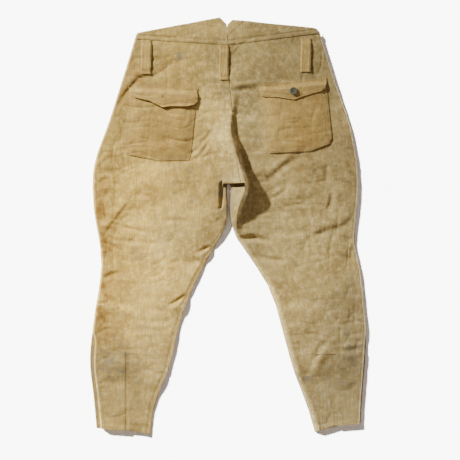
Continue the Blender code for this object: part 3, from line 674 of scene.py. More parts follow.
def canvas(name, base, deep, pale, tone_and_light_share=1.0):
    """Old cotton duck in a base colour, with a deeper and a paler one for its unevenness."""
    n = Nodes(name)
    cloth = n.add("Attribute", attribute_name="weave").outputs["Vector"]
    paint = n.add("Attribute", attribute_name="finish").outputs["Color"]
    place = n.add("TexCoord").outputs["Object"]
    stains_and_shade = n.add("SeparateColor", {"Color": paint})
    across = n.add("SeparateXYZ", {"Vector": cloth})
    turn = 2 * math.pi / THREAD_PITCH
    warp = n.math("SINE", n.math("MULTIPLY", across.outputs[0], turn))
    weft = n.math("SINE", n.math("MULTIPLY", across.outputs[1], turn))
    over = n.step(n.math("MULTIPLY", warp, weft), -0.25, 0.25)
    threads = n.add("Mix", {0: over, 2: n.math("ABSOLUTE", weft), 3: n.math("ABSOLUTE", warp)})
    slubs = n.math(
        "ADD",
        n.noise(n.stretch(cloth, (60.0, 900.0, 1.0)), 1.0, 2.0),
        n.noise(n.stretch(cloth, (900.0, 60.0, 1.0)), 1.0, 2.0),
    )
    cloudy = n.noise(place, 13.0, 6.0, 0.62)
    patchy = n.noise(place, 75.0, 5.0, 0.7)
    colour = n.mix(n.step(cloudy, 0.38, 0.62), deep, base)
    colour = n.mix(n.math("MULTIPLY", n.step(patchy, 0.46, 0.70), 0.8), colour, pale)
    streaks = n.noise(n.stretch(cloth, (330.0, 26.0, 1.0)), 1.0, 3.0, 0.6)
    colour = n.mix(n.math("MULTIPLY", n.step(streaks, 0.44, 0.62), 0.62), colour, deep)
    # This map multiplies in the cloth's own tone together with painted light, lighter on the left leg and
    # darker on the right.
    tone_and_light = n.add("Attribute", attribute_name="tone_and_light").outputs["Color"]
    colour = n.mix(tone_and_light_share, colour, n.mix(1.0, colour, tone_and_light, "MULTIPLY"))
    rubbed = n.math("MULTIPLY", stains_and_shade.outputs[2], n.step(patchy, 0.25, 0.65))
    colour = n.mix(n.math("MULTIPLY", rubbed, 0.6), colour, pale)
    # Grime, and painted shade in the crotch fold, darken the cloth towards a grey brown.
    dirt_and_shade = n.math("MULTIPLY", stains_and_shade.outputs[1], n.step(patchy, 0.30, 0.62))
    colour = n.mix(n.math("MULTIPLY", dirt_and_shade, 0.75), colour, GRIME_AND_SHADE_GREY)
    specks = n.math("MULTIPLY", n.step(n.noise(place, 420.0, 3.0), 0.62, 0.69), 0.55)
    colour = n.mix(specks, colour, GRIME_AND_SHADE_GREY)
    rust = n.math("MULTIPLY", stains_and_shade.outputs[0], n.step(patchy, 0.28, 0.60))
    colour = n.mix(n.math("MULTIPLY", rust, 0.9), colour, RUST_BROWN)
    shade = n.span(n.step(slubs, 0.7, 1.3), 0.90, 1.08)
    grey = n.add("CombineColor", {i: shade for i in range(3)})
    colour = n.mix(1.0, colour, grey.outputs[0], "MULTIPLY")
    small = n.math("MULTIPLY", n.noise(place, 170.0, 4.0, 0.6), 0.35)
    crumple = n.math("ADD", n.noise(place, 55.0, 5.0, 0.6), small)
    wrinkled = n.bump(crumple, WRINKLE_DEPTH, 0.9)
    return n.finish({
        "Base Color": colour,
        "Roughness": n.span(patchy, 0.88, 0.98),
        "Specular IOR Level": 0.18,
        "Sheen Weight": 0.12,
        "Sheen Roughness": 0.5,
        "Normal": n.bump(threads.outputs[0], WEAVE_DEPTH, 0.7, Normal=wrinkled),
    })


def button_finish():
    """A dark moulded button, clouded and scuffed."""
    n = Nodes("worn_horn")
    place = n.add("TexCoord").outputs["Object"]
    cloud = n.noise(place, 260.0, 4.0)
    colour = n.mix(n.step(cloud, 0.35, 0.7), (0.036, 0.038, 0.024, 1.0), (0.104, 0.108, 0.066, 1.0))
    scuffs = n.step(n.noise(n.stretch(place, (900.0, 2600.0, 900.0)), 1.0), 0.60, 0.72)
    return n.finish({
        "Base Color": n.mix(n.math("MULTIPLY", scuffs, 0.4), colour, (0.24, 0.22, 0.17, 1.0)),
        "Roughness": n.span(scuffs, 0.55, 0.75),
        "Specular IOR Level": 0.3,
        "Normal": n.bump(cloud, PITTED, 0.4),
    })


def brass_finish():
    """Dull brass with dark tarnish in patches."""
    n = Nodes("dull_brass")
    place = n.add("TexCoord").outputs["Object"]
    cloud = n.noise(place, 380.0, 5.0, 0.65)
    tarnish = n.step(cloud, 0.42, 0.62)
    return n.finish({
        "Base Color": n.mix(tarnish, (0.52, 0.37, 0.16, 1.0), (0.16, 0.115, 0.06, 1.0)),
        "Metallic": 0.9,
        "Roughness": n.span(tarnish, 0.32, 0.66),
        "Normal": n.bump(cloud, PITTED, 0.4),
    })


def thread_finish(name, dark, light):
    """Twisted cotton thread."""
    n = Nodes(name)
    place = n.add("TexCoord").outputs["Object"]
    ply = n.noise(place, 1500.0, 2.0)
    return n.finish({
        "Base Color": n.mix(n.step(ply, 0.3, 0.7), dark, light),
        "Roughness": 0.9,
        "Normal": n.bump(ply, TWIST, 0.5),
    })


finishes = {
    "canvas": canvas(
        "washed_canvas",
        (0.52, 0.375, 0.107, 1.0), (0.335, 0.226, 0.062, 1.0), (0.76, 0.60, 0.225, 1.0),
    ),
    "canvas_dark": canvas(
        "pocket_canvas",
        (0.42, 0.285, 0.075, 1.0), (0.305, 0.195, 0.048, 1.0), (0.55, 0.40, 0.125, 1.0),
        tone_and_light_share=0.45,
    ),
    "canvas_grey": canvas(
        "calf_canvas",
        (0.45, 0.335, 0.105, 1.0), (0.35, 0.255, 0.080, 1.0), (0.58, 0.46, 0.17, 1.0),
    ),
    "horn": button_finish(),
    "brass": brass_finish(),
    "thread": thread_finish("waxed_thread", (0.28, 0.20, 0.10, 1.0), (0.46, 0.36, 0.20, 1.0)),
}
print("finishes:", ", ".join(finishes))

# %% [markdown]
# ## Cutting and laying cloth
# Every piece of cloth is laid out the same way: a grid of points on its outer face, then a wall of
# the cloth's thickness behind it. A patch between four edge lines keeps the grid's rows running
# along its seams. Each piece also carries its painted stains and shade, its map of tone and painted
# light, and its pattern map.

# %% Cutting and laying cloth
BODY_OF = {
    "pocket_flap_left": "left_pocket_flap", "pocket_flap_right": "right_pocket_flap",
    "vent_flap_left": "left_vent_flap", "vent_flap_right": "right_vent_flap", "fly_flap": "fly",
}
SHARP_EDGE = math.radians(60.0)


def applied(made):
    """Turn a piece's modifiers into plain mesh."""
    ready = made.evaluated_get(bpy.context.evaluated_depsgraph_get())
    mesh = bpy.data.meshes.new_from_object(ready)
    mesh.name = made.name
    made.modifiers.clear()
    made.data = mesh


def point_layer(mesh, name, kind, key, values):
    """Store one value for each point of a mesh."""
    layer = mesh.attributes.new(name, kind, "POINT")
    layer.data.foreach_set(key, np.ascontiguousarray(values, np.float32).ravel())


def dress(mesh, x, y, weave_x, weave_y):
    """Give a cloth mesh its stains and painted shade, its tone and painted light, and its pattern map."""
    point_layer(mesh, "finish", "FLOAT_COLOR", "color", finish_at(x, y).reshape(-1, 4))
    point_layer(mesh, "tone_and_light", "FLOAT_COLOR", "color", tone_and_painted_light_at(x, y).reshape(-1, 4))
    flat = np.stack([weave_x, weave_y, np.zeros(x.shape)], axis=-1)
    point_layer(mesh, "weave", "FLOAT_VECTOR", "vector", flat)


def laid(name, x, y, top, finish, thickness=CLOTH, hole=None):
    """A piece of cloth from rows of points on its outer face. hole marks points inside a slit."""
    rows, columns = x.shape
    points = np.stack([x, y, top], axis=-1)
    number = np.arange(rows * columns).reshape(rows, columns)
    corners = (number[:-1, :-1], number[:-1, 1:], number[1:, 1:], number[1:, :-1])
    if x[0, -1] < x[0, 0]:
        corners = corners[::-1]
    quads = np.stack([c.ravel() for c in corners], axis=-1)
    if hole is not None:
        quads = quads[~hole.ravel()[quads].all(axis=1)]
    mesh = bpy.data.meshes.new(name)
    mesh.from_pydata(points.reshape(-1, 3).tolist(), [], quads.tolist())
    step_x = np.linalg.norm(np.diff(points, axis=1), axis=2)
    step_y = np.linalg.norm(np.diff(points, axis=0), axis=2)
    weave_x = np.pad(np.cumsum(step_x, axis=1), ((0, 0), (1, 0))) + x[:, :1]
    weave_y = np.pad(np.cumsum(step_y, axis=0), ((1, 0), (0, 0)))
    dress(mesh, x, y, weave_x, weave_y)
    made = bpy.data.objects.new(name, mesh)
    bpy.context.scene.collection.objects.link(made)
    if hole is not None:
        bm = bmesh.new()
        bm.from_mesh(mesh)
        loose = [vertex for vertex in bm.verts if not vertex.link_faces]
        bmesh.ops.delete(bm, geom=loose, context="VERTS")
        bm.to_mesh(mesh)
        bm.free()
    wall = made.modifiers.new("cloth", "SOLIDIFY")
    wall.thickness = thickness
    wall.offset = -1.0
    applied(made)
    made.data.shade_smooth()
    made.data.set_sharp_from_angle(angle=SHARP_EDGE)
    made.data.materials.append(finishes[finish])
    return made


def declare_cut(made, flat, cut):
    """Print a piece's cut width, length and area."""
    print(f"{made.name}: cut {1000 * flat[0]:.0f} x {1000 * flat[1]:.0f} mm, {1e4 * cut:.0f} cm2")


def declare(made, x, y):
    """Print a piece's cut size, from the flat shape of its plan."""
    dx_u, dy_u = np.diff(x, axis=1)[:-1], np.diff(y, axis=1)[:-1]
    dx_v, dy_v = np.diff(x, axis=0)[:, :-1], np.diff(y, axis=0)[:, :-1]
    cut = float(np.abs(dx_u * dy_v - dy_u * dx_v).sum())
    declare_cut(made, (float(np.ptp(x)), float(np.ptp(y))), cut)


def spaced(points, count):
    """That many points, evenly spaced along a line of points."""
    line = np.array(points, float)
    far = np.concatenate([[0.0], np.cumsum(np.hypot(*np.diff(line, axis=0).T))])
    at = np.linspace(0.0, far[-1], count)
    return np.stack([np.interp(at, far, line[:, k]) for k in range(2)], axis=-1)


def patch(foot, head, left, right, columns, rows):
    """Rows of plan points inside four edge lines, from foot to head, each from left to right."""
    low, high = spaced(foot, columns + 1), spaced(head, columns + 1)
    near, far = spaced(left, rows + 1), spaced(right, rows + 1)
    u = np.linspace(0.0, 1.0, columns + 1)[None, :, None]
    v = np.linspace(0.0, 1.0, rows + 1)[:, None, None]
    edges = lerp(low[None], high[None], v) + lerp(near[:, None], far[:, None], u)
    corners = lerp(lerp(low[0], low[-1], u), lerp(high[0], high[-1], u), v)
    grid = edges - corners
    return grid[..., 0], grid[..., 1]


# %% [markdown]
# ## The legs and the seat
# Each half of the back is one panel, cut from hem to yoke. Its rows run between the seams and close
# up at its edges, where the cloth turns. At the seat seam the right panel is tucked under the left
# one, as a felled seam is sewn. Beside a calf opening the panel stops under the facing.

# %% The legs and the seat
FACING_TOP = -0.3045
FACING_SEAM = {-1: -0.2495, 1: 0.2620}
TUCK = 0.007
HEM_FOLD = 0.015
HEM_STEP = 0.0011
HEM_DENT = 0.0006
UNDERLAP_TOP = -0.2906
SLIT_END = {-1: -0.0130, 1: 0.0420}
BACK_COLUMNS = 132
BACK_ROWS = 300
FACING_ROW = 62  # the row at the top of the facing
CROTCH_ROW = 190
SEAM_STEP = 0.0005
SAME_POINT = 0.00005
LONGEST_EDGE = 0.008


def between(knots, rows):
    """Height at each row, from (row, height) knots."""
    return np.interp(np.arange(rows + 1), *zip(*knots))


def crowded(count):
    """Shares from 0 to 1 that lie closer together at both ends."""
    t = np.linspace(0.0, 1.0, count + 1)
    return t - 0.45 * np.sin(2 * np.pi * t) / (2 * np.pi)


def hem_line(side, x):
    """Height of the hem's edge across a leg."""
    return lerp(HEM_OUTER[side], HEM_INNER[side], (x - side * 0.325) / (side * -0.125))


def groove(away, width):
    """1 on a line of stitches, fading to 0 beside it."""
    return np.exp(-((away / width) ** 2))


def hem_fold(side, x, y):
    """The hem is turned up, so it is thicker, with a dent along its stitches."""
    up = y - hem_line(side, x)
    thicker = smooth(HEM_FOLD + 0.003, HEM_FOLD - 0.001, up)
    return HEM_STEP * thicker - HEM_DENT * groove(up - HEM_FOLD, 0.0018)


def back_cloth(side, name):
    """Half of the back layer, from the hem to under the yoke."""
    top_out = YOKE_SEAM_OUTER[side] + TUCK
    top_in = YOKE_SEAM_CENTRE + TUCK
    step = FACING_TOP - TUCK
    outer_y = between((
        (0, HEM_OUTER[side]), (FACING_ROW, step), (FACING_ROW + 1, step + 0.002),
        (CROTCH_ROW, CROTCH), (CROTCH_ROW + 1, SEAT_FOOT), (BACK_ROWS, top_out),
    ), BACK_ROWS)
    inner_y = between((
        (0, HEM_INNER[side]), (FACING_ROW, step - 0.004), (FACING_ROW + 1, step - 0.002),
        (CROTCH_ROW, CROTCH), (CROTCH_ROW + 1, SEAT_FOOT), (BACK_ROWS, top_in),
    ), BACK_ROWS)
    rows = np.arange(BACK_ROWS + 1)
    under_facing = FACING_SEAM[side] + side * TUCK
    outer_x = np.where(rows <= FACING_ROW, under_facing, back_edge(side, outer_y))
    tuck = TUCK if side > 0 else 0.0
    inner_x = np.where(rows <= CROTCH_ROW, INNER_SEAM[side](inner_y), SEAT_SEAM(inner_y) - tuck)
    share = crowded(BACK_COLUMNS)[None]
    ends = [
        (SLIT_END[side] - outer_x[row]) / (inner_x[row] - outer_x[row])
        for row in (CROTCH_ROW, CROTCH_ROW + 1)
    ]
    lined_up = np.interp(share, [0.0, ends[0], 1.0], [0.0, ends[1], 1.0])
    above = smooth(CROTCH_ROW + 60, CROTCH_ROW + 1, rows) * (rows > CROTCH_ROW)
    x = lerp(outer_x[:, None], inner_x[:, None], lerp(share, lined_up, above[:, None]))
    y = lerp(outer_y[:, None], inner_y[:, None], share)
    top = surface(side, x, y) + hem_fold(side, x, y)
    if side > 0:
        seam = SEAT_SEAM(y)
        under = smooth(seam + 0.003, seam - 0.0005, x) * (y > SEAT_FOOT - 0.001)
        top = top - (CLOTH + SEAM_STEP) * under
    else:
        top = top + 0.0006 * smooth(0.010, 0.007, SEAT_SEAM(y) - x) * (y > SEAT_FOOT - 0.001)
    slit = np.zeros(x.shape, bool)
    slit[CROTCH_ROW:CROTCH_ROW + 2] = side * (x[CROTCH_ROW] - SLIT_END[side]) < 0.0001
    made = laid("back_cloth_" + name, x, y, top, "canvas", hole=slit)
    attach(made, "trousers")
    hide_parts("back_panel_" + name)
    declare(made, x, y)


def from_model(node, name, finish, cuts):
    """A flat piece of cloth that keeps the model's shape, with finer points and its own stains."""
    mesh = nodes[node].data.copy()
    bm = bmesh.new()
    bm.from_mesh(mesh)
    bmesh.ops.remove_doubles(bm, verts=bm.verts, dist=SAME_POINT)
    bmesh.ops.dissolve_limit(bm, angle_limit=0.001, verts=bm.verts, edges=bm.edges)
    bmesh.ops.triangulate(bm, faces=bm.faces)
    for _ in range(cuts):
        long = [edge for edge in bm.edges if edge.calc_length() > LONGEST_EDGE]
        bmesh.ops.subdivide_edges(bm, edges=long, cuts=1)
        bmesh.ops.triangulate(bm, faces=[face for face in bm.faces if len(face.verts) > 3])
    bm.to_mesh(mesh)
    bm.free()
    mesh.materials.clear()
    for layer in list(mesh.attributes):
        if not layer.is_required and layer.name not in {"sharp_edge", "sharp_face"}:
            mesh.attributes.remove(layer)
    points = np.empty(len(mesh.vertices) * 3, np.float32)
    mesh.vertices.foreach_get("co", points)
    points = points.reshape(-1, 3).astype(float)
    x, y = points[:, 0], points[:, 1]
    if node.startswith("vent_underlap"):
        y[y > box[node][1].y - 0.001] = UNDERLAP_TOP
    mesh.vertices.foreach_set("co", points.astype(np.float32).ravel())
    dress(mesh, x, y, x, y)
    made = bpy.data.objects.new(name, mesh)
    bpy.context.scene.collection.objects.link(made)
    mesh.shade_smooth()
    mesh.set_sharp_from_angle(angle=SHARP_EDGE)
    mesh.materials.append(finishes[finish])
    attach(made, BODY_OF.get(node, "trousers"))
    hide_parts(node)
    low, high = box[node]
    cut = sum(face.area for face in mesh.polygons if abs(face.normal.z) > 0.5) / 2
    declare_cut(made, (high.x - low.x, high.y - low.y), cut)


for name, side in SIDE.items():
    back_cloth(side, name)
    from_model("front_panel_" + name, "front_cloth_" + name, "canvas", 4)
    from_model("waistband_front_" + name, "front_band_" + name, "canvas", 3)
    from_model("belt_loop_front_" + name, "front_loop_" + name, "canvas_dark", 3)
    from_model("vent_underlap_" + name, "calf_underlap_" + name, "canvas_grey", 4)
from_model("fly_flap", "fly_cloth", "canvas", 3)
from_model("fly_shield", "shield_cloth", "canvas_dark", 3)
from_model("crotch_gusset", "gusset_cloth", "canvas_dark", 2)

# %% [markdown]
# ## The yoke
# The waist at the back is a shaped yoke in two halves that rise to a peak each side of a V notch. It
# is two layers thick and is sewn over the top of the panels, so its lower edge stands up a little.

# %% The yoke
YOKE_THICKNESS = 0.0022
YOKE_TOP = {
    -1: ((-222, 470), (-20, 508), (-3, 491)),
    1: ((-1, 491), (11, 502), (206, 483), (217, 480), (222, 473)),
}
YOKE_RISE = 0.0012
YOKE_ROOM = 0.0009
YOKE_COLUMNS = 96
YOKE_ROWS = 26
YOKE_STEP = 0.0025
YOKE_STITCHES = 0.010


def yoke_top(side, x, y):
    """Outer face of the yoke."""
    return surface(side, x, y) + YOKE_RISE + YOKE_ROOM


def from_ends(count):
    """How many steps each point in a row is from the nearer end."""
    return np.minimum(np.arange(count + 1), count - np.arange(count + 1))


for name, side in SIDE.items():
    outer = (OUTER_SEAM[side](YOKE_SEAM_OUTER[side]), YOKE_SEAM_OUTER[side])
    centre = (SEAT_SEAM(YOKE_SEAM_CENTRE) + side * 0.0006, YOKE_SEAM_CENTRE)
    head = [(x * MM, y * MM) for x, y in YOKE_TOP[side]]
    foot = (outer, centre) if side < 0 else (centre, outer)
    x, y = patch(foot, head, (foot[0], head[0]), (foot[-1], head[-1]), YOKE_COLUMNS, YOKE_ROWS)
    edge = from_ends(YOKE_ROWS)[:, None] * YOKE_STEP
    share = np.arange(YOKE_ROWS + 1)[:, None] / YOKE_ROWS
    above_seam = share * np.hypot(x[-1] - x[0], y[-1] - y[0])[None]
    top = yoke_top(side, x, y) - 0.0010 * groove(edge, 0.002)
    top = top - 0.0015 * groove(above_seam - YOKE_STITCHES, 0.0018)
    made = laid("yoke_cloth_" + name, x, y, top, "canvas", thickness=YOKE_THICKNESS)
    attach(made, "trousers")
    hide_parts("back_yoke_" + name)
    declare(made, x, y)

# %% [markdown]
# ## Pockets
# A patch pocket is pressed over a card and sewn down on three edges, with one corner cut off. Its
# mouth stands open a little, so the cloth arches between its sides. The rows of the patch run from
# its foot to the mouth, and every later piece asks the same functions how high the pocket is.

# %% Pockets
HINGE = {side: Vector(joints[name + "_flap_hinge"]["pos_m"]) for name, side in SIDE.items()}
AXIS = {side: Vector(joints[name + "_flap_hinge"]["axis"]) for name, side in SIDE.items()}
OUT = {side: Vector((AXIS[side].x, AXIS[side].y)) * -side for side in (-1, 1)}
DOWN = {side: Vector((OUT[side].y, -OUT[side].x)) * side for side in (-1, 1)}
MOUTH = 0.016
POCKET_HALF = 0.0835
POCKET_ROOM = 0.0062
POCKET_DEPTH = 0.157
POCKET_CLOSED = 0.045
POCKET_LEAN = 0.045
POCKET_COLUMNS = 84
POCKET_ROWS = 78
POCKET_STEP = 0.002
POCKET_STITCHES = (0.002, 0.009)
POCKET_EDGE = {
    -1: {
        "foot": ((-245, 174), (-172, 159), (-95, 160)),
        "head": ((-242, 323), (-76, 312)),
        "left": ((-245, 174), (-258, 204), (-242, 323)),
        "right": ((-95, 160), (-91, 175), (-76, 312)),
    },
    1: {
        "foot": ((100, 177), (200, 182), (246, 200)),
        "head": ((76, 322), (240, 340)),
        "left": ((100, 177), (76, 322)),
        "right": ((246, 200), (253, 214), (240, 340)),
    },
}


def from_fold(side, x, y):
    """Distances from the middle of a flap's fold: out towards the side seam, and down."""
    dx, dy = x - HINGE[side].x, y - HINGE[side].y
    return dx * OUT[side].x + dy * OUT[side].y, dx * DOWN[side].x + dy * DOWN[side].y


def at_fold(side, out, down):
    """The plan point that lies so far out and down from the middle of a fold."""
    return tuple(HINGE[side].xy + OUT[side] * out + DOWN[side] * down)


def pocket_room(side, x, y):
    """Height of the space between a pocket and the trousers."""
    out, down = from_fold(side, x, y)
    depth = down - MOUTH
    away = (out - POCKET_LEAN * depth) / POCKET_HALF
    foot = np.sin(np.pi / 2 * np.clip((POCKET_DEPTH - depth) / POCKET_CLOSED, 0.0, 1.0))
    return POCKET_ROOM * smooth(0.0, 1.0, np.clip(1.0 - away**4, 0.0, 1.0)) * foot


def pocket_top(side, x, y):
    """Outer face of a pocket."""
    return surface(side, x, y) + 0.0002 + CLOTH + pocket_room(side, x, y)


def metres(line):
    """A line in mm, turned into metres."""
    return [(a * MM, b * MM) for a, b in line]


pocket_grid = {}
for name, side in SIDE.items():
    edges = [metres(POCKET_EDGE[side][key]) for key in ("foot", "head", "left", "right")]
    x, y = patch(*edges, POCKET_COLUMNS, POCKET_ROWS)
    rim = np.minimum(from_ends(POCKET_COLUMNS)[None], np.arange(POCKET_ROWS + 1)[:, None]) * POCKET_STEP
    outer_row, inner_row = POCKET_STITCHES
    top = pocket_top(side, x, y) + 0.0005 * smooth(0.011, 0.007, rim)
    top -= 0.0005 * (groove(rim - outer_row, 0.0020) + groove(rim - inner_row, 0.0016))
    made = laid("pocket_cloth_" + name, x, y, top, "canvas_dark")
    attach(made, "trousers")
    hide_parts("back_pocket_" + name)
    declare(made, x, y)
    pocket_grid[side] = (x, y)

# %% [markdown]
# ## Flaps
# A flap is sewn down above its fold, and the fold is where it turns, so its first few millimetres
# bend between the trousers and the flap. The right one is buttoned and lies over its button's
# thread. The left one is free, and stiff cloth that was once folded up springs off the pocket.

# %% Flaps
FLAP_THICKNESS = 0.0018
FLAP_SEAM = 0.0055
FLAP_FOOT = {
    -1: [
        at_fold(-1, 0.0825, 0.009), at_fold(-1, 0.078, 0.0200), at_fold(-1, 0.066, 0.0262),
        (-0.190, 0.3035), (-0.165, 0.2905), (-0.157, 0.2875), (-0.140, 0.2905), (-0.100, 0.2905),
        (-0.083, 0.2945), (-0.0745, 0.303), at_fold(-1, -0.0832, 0.012),
    ],
    1: [
        at_fold(1, -0.0825, 0.010), at_fold(1, -0.079, 0.0205), at_fold(1, -0.0710, 0.0255),
        at_fold(1, -0.0395, 0.030),
        at_fold(1, 0.0, 0.0405), at_fold(1, 0.015, 0.0365), at_fold(1, 0.041, 0.031),
        at_fold(1, 0.0665, 0.0265), at_fold(1, 0.0775, 0.0195), at_fold(1, 0.0828, 0.008),
    ],
}
FLAP_HALF = 0.0838
FLAP_COLUMNS = 110
FLAP_ROWS = 30
FLAP_STEP = (0.0015, 0.0013)
FLAP_STITCHES = (0.003, 0.009)
SLIT = {-1: (0.0011, 0.0095), 1: (0.0026, 0.0105)}
SLIT_DOWN = {-1: 0.0215, 1: 0.0200}
BUTTON_BUMP = 0.0046


def flap_top(side, x, y):
    """Outer face of a flap as it lies on its pocket."""
    out, down = from_fold(side, x, y)
    climb = smooth(0.0, MOUTH - 0.002, down)
    over = POCKET_ROOM * np.clip(1.0 - (out / POCKET_HALF) ** 4, 0.0, 1.0) + CLOTH + 0.0011
    height = surface(side, x, y) + 0.0006 + FLAP_THICKNESS + climb * over
    if side < 0:
        button = REST_AROUND[side]
        near = np.exp(-((x - button.x) ** 2 + (y - button.y) ** 2) / 0.021**2)
        free = np.clip(down, 0.0, None)
        corner = smooth(0.03, -0.085, out)
        height = height + BUTTON_BUMP * near + free * (0.085 + 0.03 * corner)
    else:
        out_end = smooth(0.055, 0.085, np.abs(out))
        height = height + np.clip(down, 0.0, None) * 0.10 * out_end
    return height


flap_grid = {}
for name, side in SIDE.items():
    fold = [at_fold(side, FLAP_HALF, -FLAP_SEAM), at_fold(side, -FLAP_HALF, -FLAP_SEAM)]
    head = fold if side < 0 else fold[::-1]
    foot = FLAP_FOOT[side]
    x, y = patch(foot, head, (foot[0], head[0]), (foot[-1], head[-1]), FLAP_COLUMNS, FLAP_ROWS)
    across, along = from_fold(side, x, y)
    along = along - SLIT_DOWN[side]
    reach = np.hypot(across / SLIT[side][0], along / SLIT[side][1])
    in_slit = reach < 1.0
    push = np.where(in_slit, 1.0 / np.maximum(reach, 0.05), 1.0) - 1.0
    x = x + push * (across * OUT[side].x + along * DOWN[side].x)
    y = y + push * (across * OUT[side].y + along * DOWN[side].y)
    u = from_ends(FLAP_COLUMNS)[None] * FLAP_STEP[0]
    v = np.arange(FLAP_ROWS + 1)[:, None] * FLAP_STEP[1]
    rim = np.minimum(u, v)
    outer_row, inner_row = FLAP_STITCHES
    dents = groove(rim - outer_row, 0.0012) + groove(rim - inner_row, 0.0014)
    top = flap_top(side, x, y) - 0.0006 * dents
    made = laid("flap_cloth_" + name, x, y, top, "canvas_dark", thickness=FLAP_THICKNESS, hole=in_slit)
    start = (*at_fold(side, 0.0, -0.003), HINGE[side].z)
    end = (*at_fold(side, 0.0, 0.005), HINGE[side].z)
    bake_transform(made, "trousers", name + "_pocket_flap", start=start, end=end)
    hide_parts("pocket_flap_" + name)
    declare(made, x, y)
    flap_grid[side] = (x, y)

# %% [markdown]
# ## Calf openings
# Each calf closes with an opening at its outside. A straight facing is sewn on the back layer along
# one seam and folds back about a line half way across. Its first part stays on the leg.

# %% Calf openings
FACING_STEP = CLOTH + 0.0005
FACING_COLUMNS = 30
FACING_ROWS = 72


def facing_top(side, x, y):
    """Outer face of a calf facing."""
    seam = side * (x - FACING_SEAM[side])
    pulled_in = 0.0006 * groove(seam, 0.002)
    return surface(side, x, y) + hem_fold(side, x, y) + FACING_STEP - pulled_in


for name, side in SIDE.items():
    v = np.linspace(0.0, 1.0, FACING_ROWS + 1)[:, None]
    u = crowded(FACING_COLUMNS)[None]
    y_seam = lerp(HEM_OUTER[side] - 0.004, FACING_TOP - 0.003, v)
    y_edge = lerp(HEM_OUTER[side], FACING_TOP, v)
    x = lerp(FACING_SEAM[side], back_edge(side, y_edge), u)
    y = lerp(y_seam, y_edge, u)
    made = laid("calf_facing_" + name, x, y, facing_top(side, x, y), "canvas")
    hinge = Vector(joints[name + "_vent_hinge"]["pos_m"])
    start = hinge - Vector((side * 0.003, 0.0, 0.0))
    end = hinge + Vector((side * 0.005, 0.0, 0.0))
    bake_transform(made, "trousers", name + "_vent_flap", start=tuple(start), end=tuple(end))
    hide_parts("vent_flap_" + name)
    declare(made, x, y)

# %% [markdown]
# ## Belt loops
# A belt loop is a strip folded to three layers, sewn down at both ends and standing clear of the
# back between them. Its folded edges are rounded and thick.

# %% Belt loops
LOOP_THICKNESS = 0.0020
LOOP_ROOM = 0.0024
LOOP_END = 0.012
LOOP_COLUMNS = 21
LOOP_ROWS = 56
LOOP_CALM = 6  # rows over which a loop evens out the ground under it


def loop_arch(down, length):
    """0 at the sewn ends of a loop and 1 along its bridge."""
    return smooth(LOOP_END * 0.4, LOOP_END * 1.4, down) * smooth(
        length - LOOP_END * 0.4, length - LOOP_END * 1.4, down
    )


loop_rows = []
for name in ("left", "center", "right"):
    low, high = box["belt_loop_back_" + name]
    middle = (low.x + high.x) / 2
    side = 1 if name == "right" else -1
    narrow = 0.93 if name == "center" else 1.0
    u = np.linspace(-1.0, 1.0, LOOP_COLUMNS)[None] * np.ones((LOOP_ROWS, 1))
    y = np.linspace(low.y, high.y, LOOP_ROWS)[:, None] * np.ones((1, LOOP_COLUMNS))
    half = (high.x - low.x) / 2 * narrow
    x = middle + u * half + 0.0006 * np.sin(y / 0.013)
    level = np.pad(surface(side, np.full(LOOP_ROWS, middle), y[:, 0]), LOOP_CALM, mode="edge")
    even = np.ones(2 * LOOP_CALM + 1) / (2 * LOOP_CALM + 1)
    level = np.convolve(level, even, mode="valid")[:, None]
    arch = loop_arch(high.y - y, high.y - low.y)
    top = level + 0.0012 + LOOP_THICKNESS + LOOP_ROOM * arch - 0.0008 * np.abs(u) ** 6
    top += 0.0004 * np.cos(3 * np.pi * u) * (np.abs(u) > 0.5)
    made = laid("loop_cloth_" + name, x, y, top, "canvas_dark", thickness=LOOP_THICKNESS)
    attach(made, "trousers")
    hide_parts("belt_loop_back_" + name)
    declare(made, x, y)
    for column in (3, 17):
        loop_rows.append((x[:, column], y[:, column], top[:, column]))

# %% [markdown]
# ## Sewing
# Two rows of stitches run round each pocket and flap, and one or two along the other seams. A row is
# a thin line over the cloth. Geometry nodes lay one small stitch at every step of the line, turned
# along it, with its length and thickness varied by a fixed seed.

# %% Sewing
STITCH = 0.0033
STITCH_GAP = 0.0016
STITCH_THICK = 0.00042
STITCH_SEED = 5
STITCH_RISE = 0.0002
rows_on = {
    body: []
    for body in (
        "trousers", "left_pocket_flap", "right_pocket_flap", "left_vent_flap", "right_vent_flap",
    )
}


def sew(body, x, y, top):
    """Add one row of stitches over a line of points."""
    rows_on[body].append(np.stack([x, y, np.asarray(top) + STITCH_RISE], axis=-1))


def inside(grid, gap, count, top_share=1.0):
    """A line that runs inside the edges of a patch, at a steady distance from them."""
    x, y = grid
    rows, columns = x.shape
    wide = np.hypot(x[0, -1] - x[0, 0], y[0, -1] - y[0, 0])
    tall = np.hypot(x[-1, 0] - x[0, 0], y[-1, 0] - y[0, 0])
    du, dv = gap / wide * (columns - 1), gap / tall * (rows - 1)
    up = np.linspace(dv, (rows - 1) * top_share, count)
    over = np.linspace(du, columns - 1 - du, count)
    r = np.concatenate([up[::-1], np.full(count, dv), up])
    c = np.concatenate([np.full(count, du), over, np.full(count, columns - 1 - du)])
    i, j = np.clip(r.astype(int), 0, rows - 2), np.clip(c.astype(int), 0, columns - 2)
    s, t = r - i, c - j
    values = []
    for field in (x, y):
        low = lerp(field[i, j], field[i, j + 1], t)
        high = lerp(field[i + 1, j], field[i + 1, j + 1], t)
        values.append(lerp(low, high, s))
    return values


